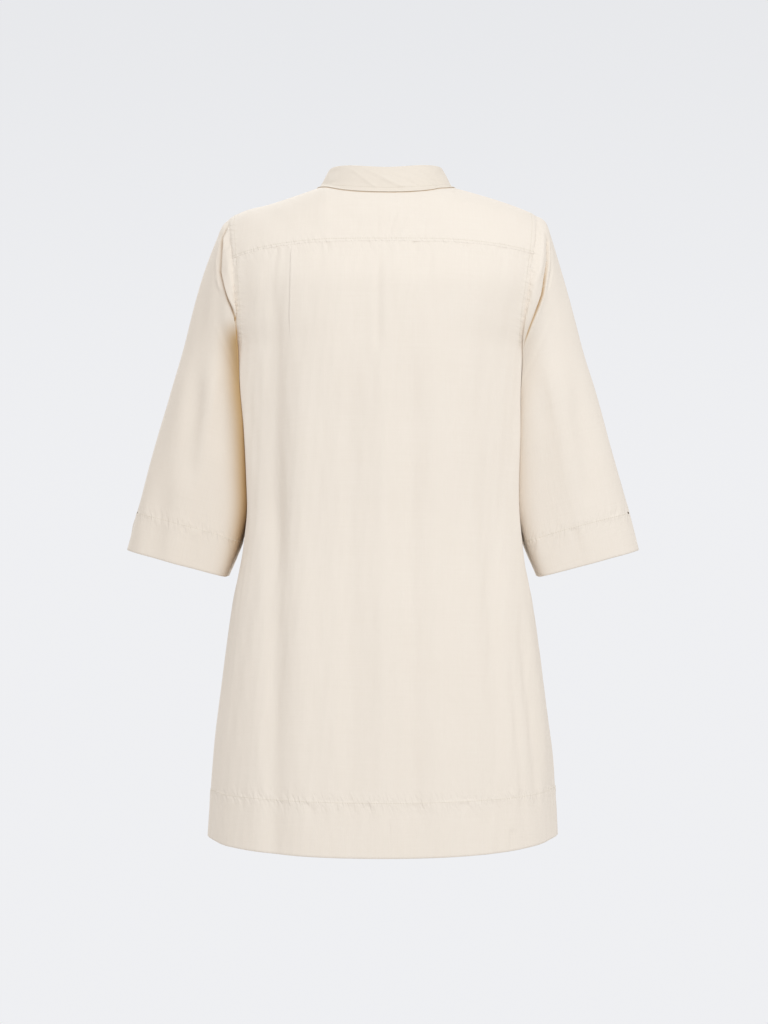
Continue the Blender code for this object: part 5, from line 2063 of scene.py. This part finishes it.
@dataclass
class Buttons:
    """Five turned buttons with four holes, each sewn on with two bars of thread."""

    placket: Placket
    collar: Collar
    radius: float = 0.0056
    thickness: float = 0.0024
    dish: float = 0.55
    rim: float = 0.86
    hole_reach: float = 0.0015
    hole_radius: float = 0.00062
    hole_depth: float = 0.0011
    count: int = 4
    pitch: float = 0.052
    last_rise: float = 0.030
    gap: float = 0.0003
    bar_radius: float = 0.00042
    slit_half: float = 0.0078
    slit_half_width: float = 0.0011
    slit_sink: float = 0.00025
    sides: int = 72

    def face_height(self, reach: Array, turn: Array) -> Array:
        """Height of the face: a shallow dish inside a round rim, with four round holes sunk in it.

        Args:
            reach: distance from the middle.
            turn: angle round the middle.

        Returns:
            The height above the button's back.
        """
        share = reach / self.radius
        rim = bell((share - self.rim) / 0.11)
        edge = np.sqrt(np.clip(1.0 - np.clip((share - 0.90) / 0.10, 0.0, 1.0) ** 2, 0.0, 1.0))
        height = self.thickness * (0.62 + 0.38 * rim) * (0.35 + 0.65 * edge)
        for i in range(4):
            corner = math.pi / 4.0 + i * math.pi / 2.0
            away = np.hypot(reach * np.cos(turn) - self.hole_reach * math.cos(corner),
                            reach * np.sin(turn) - self.hole_reach * math.sin(corner))
            height = height - self.hole_depth * (1.0 - smooth((away / self.hole_radius - 0.75) / 0.5))
        return height

    def frame_at(self, out: Array) -> tuple[Array, Array]:
        """Two directions square to the button's axis, the second as upright as it can be."""
        side = unit(np.cross(np.array([0.0, 0.0, 1.0]), out))
        return side, np.cross(out, side)

    def disc(self, name: str, centre: Array, out: Array, finish: bpy.types.Material, node: str) -> None:
        """One button: a polar grid for the face, a curved edge and a flat back."""
        reach = self.radius * spaced((0.0, 0.12, 3), (0.12, 0.42, 13), (0.42, 0.80, 6), (0.80, 1.0, 8))[1:]
        turn = np.linspace(0.0, 2.0 * math.pi, self.sides, endpoint=False)
        grid_reach, grid_turn = np.meshgrid(reach, turn, indexing="ij")
        height = self.face_height(grid_reach, grid_turn)
        edge_reach = np.full((1, self.sides), self.radius)
        wall = np.concatenate([edge_reach, edge_reach * 0.94])
        grid_reach = np.concatenate([grid_reach, wall])
        grid_turn = np.concatenate([grid_turn, np.tile(turn, (2, 1))])
        height = np.concatenate([height, np.full((1, self.sides), self.thickness * 0.14),
                                 np.zeros((1, self.sides))])
        side, up = self.frame_at(out)
        ring = (np.cos(grid_turn)[..., None] * side + np.sin(grid_turn)[..., None] * up)
        points = centre + ring * grid_reach[..., None] + height[..., None] * out
        index = numbered(len(points), self.sides)
        middle = centre + out * float(self.face_height(np.zeros(1), np.zeros(1))[0])
        cap = np.stack([np.full(self.sides, len(points) * self.sides), index[0, :-1], index[0, 1:]], axis=-1)
        faces = corners(index, TURNED).tolist() + cap.tolist() + [index[-1, :-1][::-1].tolist()]
        piece = plain_mesh(name, np.concatenate([points.reshape(-1, 3), middle[None]]), faces)
        settle(piece, finish, Slot.BUTTON, node)

    def bars(self, centre: Array, out: Array) -> list[StitchRun]:
        """Two bars of thread between the holes, side by side."""
        side, up = self.frame_at(out)
        reach = self.hole_reach / math.sqrt(2.0)
        level = self.thickness * 0.62 + 0.0001
        runs = []
        for across in (-reach, reach):
            middle = centre + side * across + out * level
            line = np.linspace(middle - up * reach * 1.25, middle + up * reach * 1.25, 5)
            runs.append(StitchRun(line, np.tile(out, (5, 1)), reach * 2.5, reach * 2.9, self.bar_radius, 0.0))
        return runs

    def holes(self, centre: Array, out: Array, upright: bool) -> list[StitchRun]:
        """A worked buttonhole: a slim ring of close stitches that shows beyond the button."""
        side, up = self.frame_at(out)
        long, short = (up, side) if upright else (side, up)
        turn = np.linspace(0.0, 2.0 * math.pi, 41)
        shape = (np.sign(np.cos(turn)) * np.abs(np.cos(turn)) ** 0.6)[:, None] * long * self.slit_half
        line = centre + shape + np.sin(turn)[:, None] * short * self.slit_half_width - out * self.slit_sink
        return [StitchRun(line, np.tile(out, (41, 1)), 0.0009, 0.0011, 0.00034, 0.0, 4)]

    def build(self, finish: bpy.types.Material, thread: bpy.types.Material) -> None:
        """Makes the buttons, their threads and their buttonholes."""
        turn = math.pi + np.array([-NECK_STEP, 0.0, NECK_STEP])
        band = Patch(self.collar.band_grid(turn, 2))
        out = band.normals()[1, 1]
        places = [(band.points[1, 1] + out * self.gap * 2.0, out, False)]
        last = self.placket.bottom + self.last_rise
        for i in range(self.count):
            height = np.array([last + self.pitch * (self.count - 1 - i)])
            point, normal = self.placket.surface(np.array([0.0]), height)
            places.append((point[0] + normal[0] * self.gap, normal[0], True))
        runs: list[StitchRun] = []
        for i, (centre, out, upright) in enumerate(places):
            self.disc(f"shirt_button_{i + 1}", centre, out, finish, f"button_{i + 1}")
            runs += self.bars(centre, out) + self.holes(centre, out, upright)
        settle(stitches("button_thread", runs), thread, Slot.CLOTH)


# ---------------------------------------------------------------- the sewing
@dataclass
class Sewing:
    """Every visible row of stitches, read off the finished cloth."""

    back: Patch
    front: Patch
    yoke: Patch
    sleeves: dict[Side, tuple[Patch, int]]
    leaf: Patch
    placket: Patch
    panel_inset: float = 0.0069
    leaf_inset: float = 0.0045

    def row(self, patch: Patch, index: int) -> StitchRun:
        """Stitches along a row of a patch."""
        points, normals = patch.points[index], patch.normals()[index]
        if patch.closed:
            points, normals = (np.concatenate([each, each[:1]]) for each in (points, normals))
        return StitchRun(points, normals)

    def column(self, patch: Patch, index: int) -> StitchRun:
        """Stitches along a column of a patch."""
        return StitchRun(patch.points[:, index], patch.normals()[:, index])

    def inset_line(self, patch: Patch, inset: float, rows: slice, side: Side) -> StitchRun:
        """Stitches at a distance in from one side edge of a patch, read between its columns.

        Args:
            patch: the cloth.
            inset: distance from the edge.
            rows: the rows to follow.
            side: which edge.

        Returns:
            The row of stitches.
        """
        points, normals = patch.points[rows], patch.normals()[rows]
        if side is Side.LEFT:
            points, normals = points[:, ::-1], normals[:, ::-1]
        run = run_along(points, axis=1)
        wanted = run[:, -1] - inset
        after = (run < wanted[:, None]).sum(axis=1)
        rows_at = np.arange(len(points))
        low, high = run[rows_at, after - 1], run[rows_at, after]
        share = ((wanted - low) / (high - low))[:, None]
        line = points[rows_at, after - 1] * (1.0 - share) + points[rows_at, after] * share
        return StitchRun(line, normals[rows_at, after])

    def tacks(self, side: Side) -> list[StitchRun]:
        """Two small dark tacks at a cuff's seam, one above the other."""
        patch, row = self.sleeves[side]
        first, size = (7, 0.00062) if side is Side.RIGHT else (5, 0.00050)
        columns = np.arange(first, first + 3)
        return [StitchRun(patch.points[at, columns], patch.normals()[at, columns],
                          0.0035, size * 4.4, size, size * 0.8) for at in (row, row - 1)]

    def build(self, thread: bpy.types.Material, tack: bpy.types.Material,
              back_rows: dict[str, int], front_rows: dict[str, int]) -> None:
        """Sews hems, cuffs, seams, collar and placket, and the small dark tacks at the cuffs.

        Args:
            thread: the cream thread.
            tack: the dark thread.
            back_rows: the back's rows of the yoke seam, the armpit and the hem stitches.
            front_rows: the front's rows of the armpit and the hem stitches.
        """
        seams, leaf, tacks = [self.row(self.yoke, -3)], [self.row(self.leaf, -9)], []
        for side in Side:
            seams += [self.inset_line(patch, self.panel_inset, rows, side) for patch, rows in (
                (self.yoke, slice(None)), (self.back, slice(back_rows["seam"], back_rows["armpit"])),
                (self.front, slice(0, front_rows["armpit"])))]
            leaf.append(self.inset_line(self.leaf, self.leaf_inset, slice(14, -9), side))
            tacks += self.tacks(side)
        hems = [self.row(self.back, back_rows["stitch"]), self.row(self.front, front_rows["stitch"])]
        cuffs = [self.row(patch, row) for patch, row in self.sleeves.values()]
        strip = [self.column(self.placket, 2), self.column(self.placket, -3),
                 self.row(self.placket, -3), self.row(self.placket, -14)]
        for name, runs, finish, slot in (
            ("hem_stitches", hems, thread, Slot.CLOTH),
            ("cuff_stitches", cuffs, thread, Slot.CLOTH),
            ("seam_stitches", seams, thread, Slot.CLOTH),
            ("collar_stitches", leaf, thread, Slot.COLLAR),
            ("placket_stitches", strip, thread, Slot.CLOTH),
            ("cuff_tacks", tacks, tack, Slot.CLOTH),
        ):
            settle(stitches(name, runs), finish, slot)


# ---------------------------------------------------------------- the room
@dataclass
class Studio:
    """A plain pale room: a bowl for floor and wall, even soft light, two large lamps and the camera."""

    floor: float = -1.12
    radius: float = 9.0
    bend: float = 4.0
    height: float = 8.0
    paper_glow: tuple[float, float, float] = (0.862, 0.868, 0.890)
    paper_glow_above: tuple[float, float, float] = (0.800, 0.808, 0.830)
    ambient: tuple[float, float, float] = (1.0, 0.978, 0.958)
    ambient_strength: float = 0.755
    around: int = 96
    lamp_size: float = 2.4
    lamp_power: float = 53.0
    lamp_colour: tuple[float, float, float] = (0.91, 0.965, 1.0)
    aim: tuple[float, float, float] = (0.0, 0.0, -0.4)
    sensor: float = 36.0
    camera_distance: float = 3.6
    camera_across: float = 0.0012
    camera_height: float = -0.4009
    frame_height: float = 1.24500 * 1.024

    def backdrop(self) -> None:
        """A bowl round the upright axis: flat floor, quarter round and dome. It lights nothing and takes no
        light: its own glow shows as the lit paper, with painted shade dimming it towards the top.
        """
        flat = np.linspace(0.0, self.radius - self.bend, 12)
        turn = np.linspace(0.0, math.pi / 2.0, 25)[1:]
        reach = np.concatenate([flat, self.radius - self.bend + self.bend * np.sin(turn)])
        level = np.concatenate([np.zeros_like(flat), self.bend * (1.0 - np.cos(turn))])
        over = np.linspace(0.0, math.pi / 2.0, 13)[1:]
        reach = np.concatenate([reach, self.radius * np.cos(over)])
        level = np.concatenate([level, self.bend + (self.height - self.bend) * np.sin(over)]) + self.floor
        around = np.linspace(0.0, 2.0 * math.pi, self.around, endpoint=False)
        reach[0] = reach[-1] = 1e-4
        points = np.stack([
            reach[:, None] * np.cos(around), reach[:, None] * np.sin(around),
            np.repeat(level[:, None], len(around), axis=1)], axis=-1)
        faces = corners(numbered(*points.shape[:2]), FACING).tolist()
        bowl = plain_mesh("studio_bowl", points.reshape(-1, 3), faces)
        recipe = Recipe("studio_paper")
        place = recipe.node("ShaderNodeTexCoord")
        parts = recipe.node("ShaderNodeSeparateXYZ", {}, {0: place.outputs["Object"]})
        # Painted shade: the glow dims towards the top of the bowl.
        above = Wire(recipe, parts.outputs["Z"]).between(-0.6, 2.4)
        bowl.data.materials.append(recipe.finished({
            "Base Color": (0.0, 0.0, 0.0, 1.0),
            "Roughness": 1.0,
            "Specular IOR Level": 0.0,
            "Emission Color": recipe.blend(above, (*self.paper_glow, 1.0), (*self.paper_glow_above, 1.0)),
            "Emission Strength": 1.0,
        }))
        bowl.visible_diffuse = bowl.visible_glossy = bowl.visible_shadow = False

    def lamp(self, name: str, *place: float) -> None:
        """A square soft light turned towards the middle of the garment."""
        light = bpy.data.lights.new(name, "AREA")
        light.shape = "SQUARE"
        light.size, light.energy, light.color = self.lamp_size, self.lamp_power, self.lamp_colour
        obj = bpy.data.objects.new(name, light)
        obj.location = place
        obj.rotation_euler = (Vector(self.aim) - Vector(place)).to_track_quat("-Z", "Y").to_euler()
        obj.visible_camera = False
        bpy.context.scene.collection.objects.link(obj)

    def build(self) -> None:
        """Makes the backdrop, the even light, the lamps and the camera."""
        self.backdrop()
        world = bpy.data.worlds.new("even_light")
        world.use_nodes = True
        even = world.node_tree.nodes["Background"]
        even.inputs["Color"].default_value = (*self.ambient, 1.0)
        even.inputs["Strength"].default_value = self.ambient_strength
        bpy.context.scene.world = world
        self.lamp("key", 0.9, -2.9, 1.7)
        self.lamp("front_key", -0.9, 2.9, 1.7)
        camera = bpy.data.cameras.new("camera")
        camera.sensor_fit = "VERTICAL"
        camera.sensor_height = self.sensor
        camera.lens = self.sensor * self.camera_distance / self.frame_height
        obj = bpy.data.objects.new("camera", camera)
        obj.location = (self.camera_across, -self.camera_distance, self.camera_height)
        obj.rotation_euler = (math.radians(90.0), 0.0, 0.0)
        bpy.context.scene.collection.objects.link(obj)
        bpy.context.scene.camera = obj
        bpy.context.scene.view_settings.view_transform = "Standard"


def main() -> None:
    """Builds the garment piece by piece, and then the room round it."""
    logging.basicConfig(level=logging.INFO, format="%(name)s %(message)s")
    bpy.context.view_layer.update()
    form = TorsoForm()
    cloth = ClothFinish("tunic_cotton").material()
    back_cloth = ClothFinish("back_cotton", pressed=(
        PressedLine(across=-0.1115, top=0.004, bottom=0.125, width=0.0011, depth=0.00070, drift=0.0),
        PressedLine(across=0.0090, top=0.700, bottom=0.738, width=0.0010, depth=-0.00045, drift=0.0),
    )).material()
    collar_cloth = ClothFinish(
        "collar_cotton", colour=(0.812, 0.742, 0.656), crumple_height=0.00012).material()
    thread = ThreadFinish("cream_thread", (0.80, 0.74, 0.63)).material()
    tack = ThreadFinish("brown_thread", (0.10, 0.055, 0.03)).material()
    resin = ButtonFinish("button_resin").material()

    collar = Collar(form)
    leaf = collar.build(collar_cloth)
    yoke = YokePanel(form, leaf).build(cloth)
    back = BackPanel(form).build(back_cloth)
    front = FrontPanel(form, Half.FRONT).build(cloth)
    # The sleeves' painted shade: strong beside the body and a little all over on the left, faint beside the
    # body on the right.
    sleeves = {
        Side.LEFT: Sleeve(form, Side.LEFT, LEFT_CREASES, lean=0.006, squareness=6.0, cap_fullness=-0.0012,
                          shaded=0.92, tone=0.05, seed=83).build(cloth),
        Side.RIGHT: Sleeve(form, Side.RIGHT, RIGHT_CREASES, lean=0.010, squareness=8.0, cap_fullness=0.0026,
                           shaded=0.14, shaded_from=-0.086, seed=89).build(cloth),
    }
    strip = Placket(form)
    placket = strip.build(cloth)
    Buttons(strip, collar).build(resin, thread)
    Sewing(back, front, yoke, sleeves, leaf, placket).build(
        thread, tack, {"seam": 4, "armpit": 66, "stitch": 237}, {"armpit": 64, "stitch": 210})
    Studio().build()


if __name__ == "__main__":
    main()
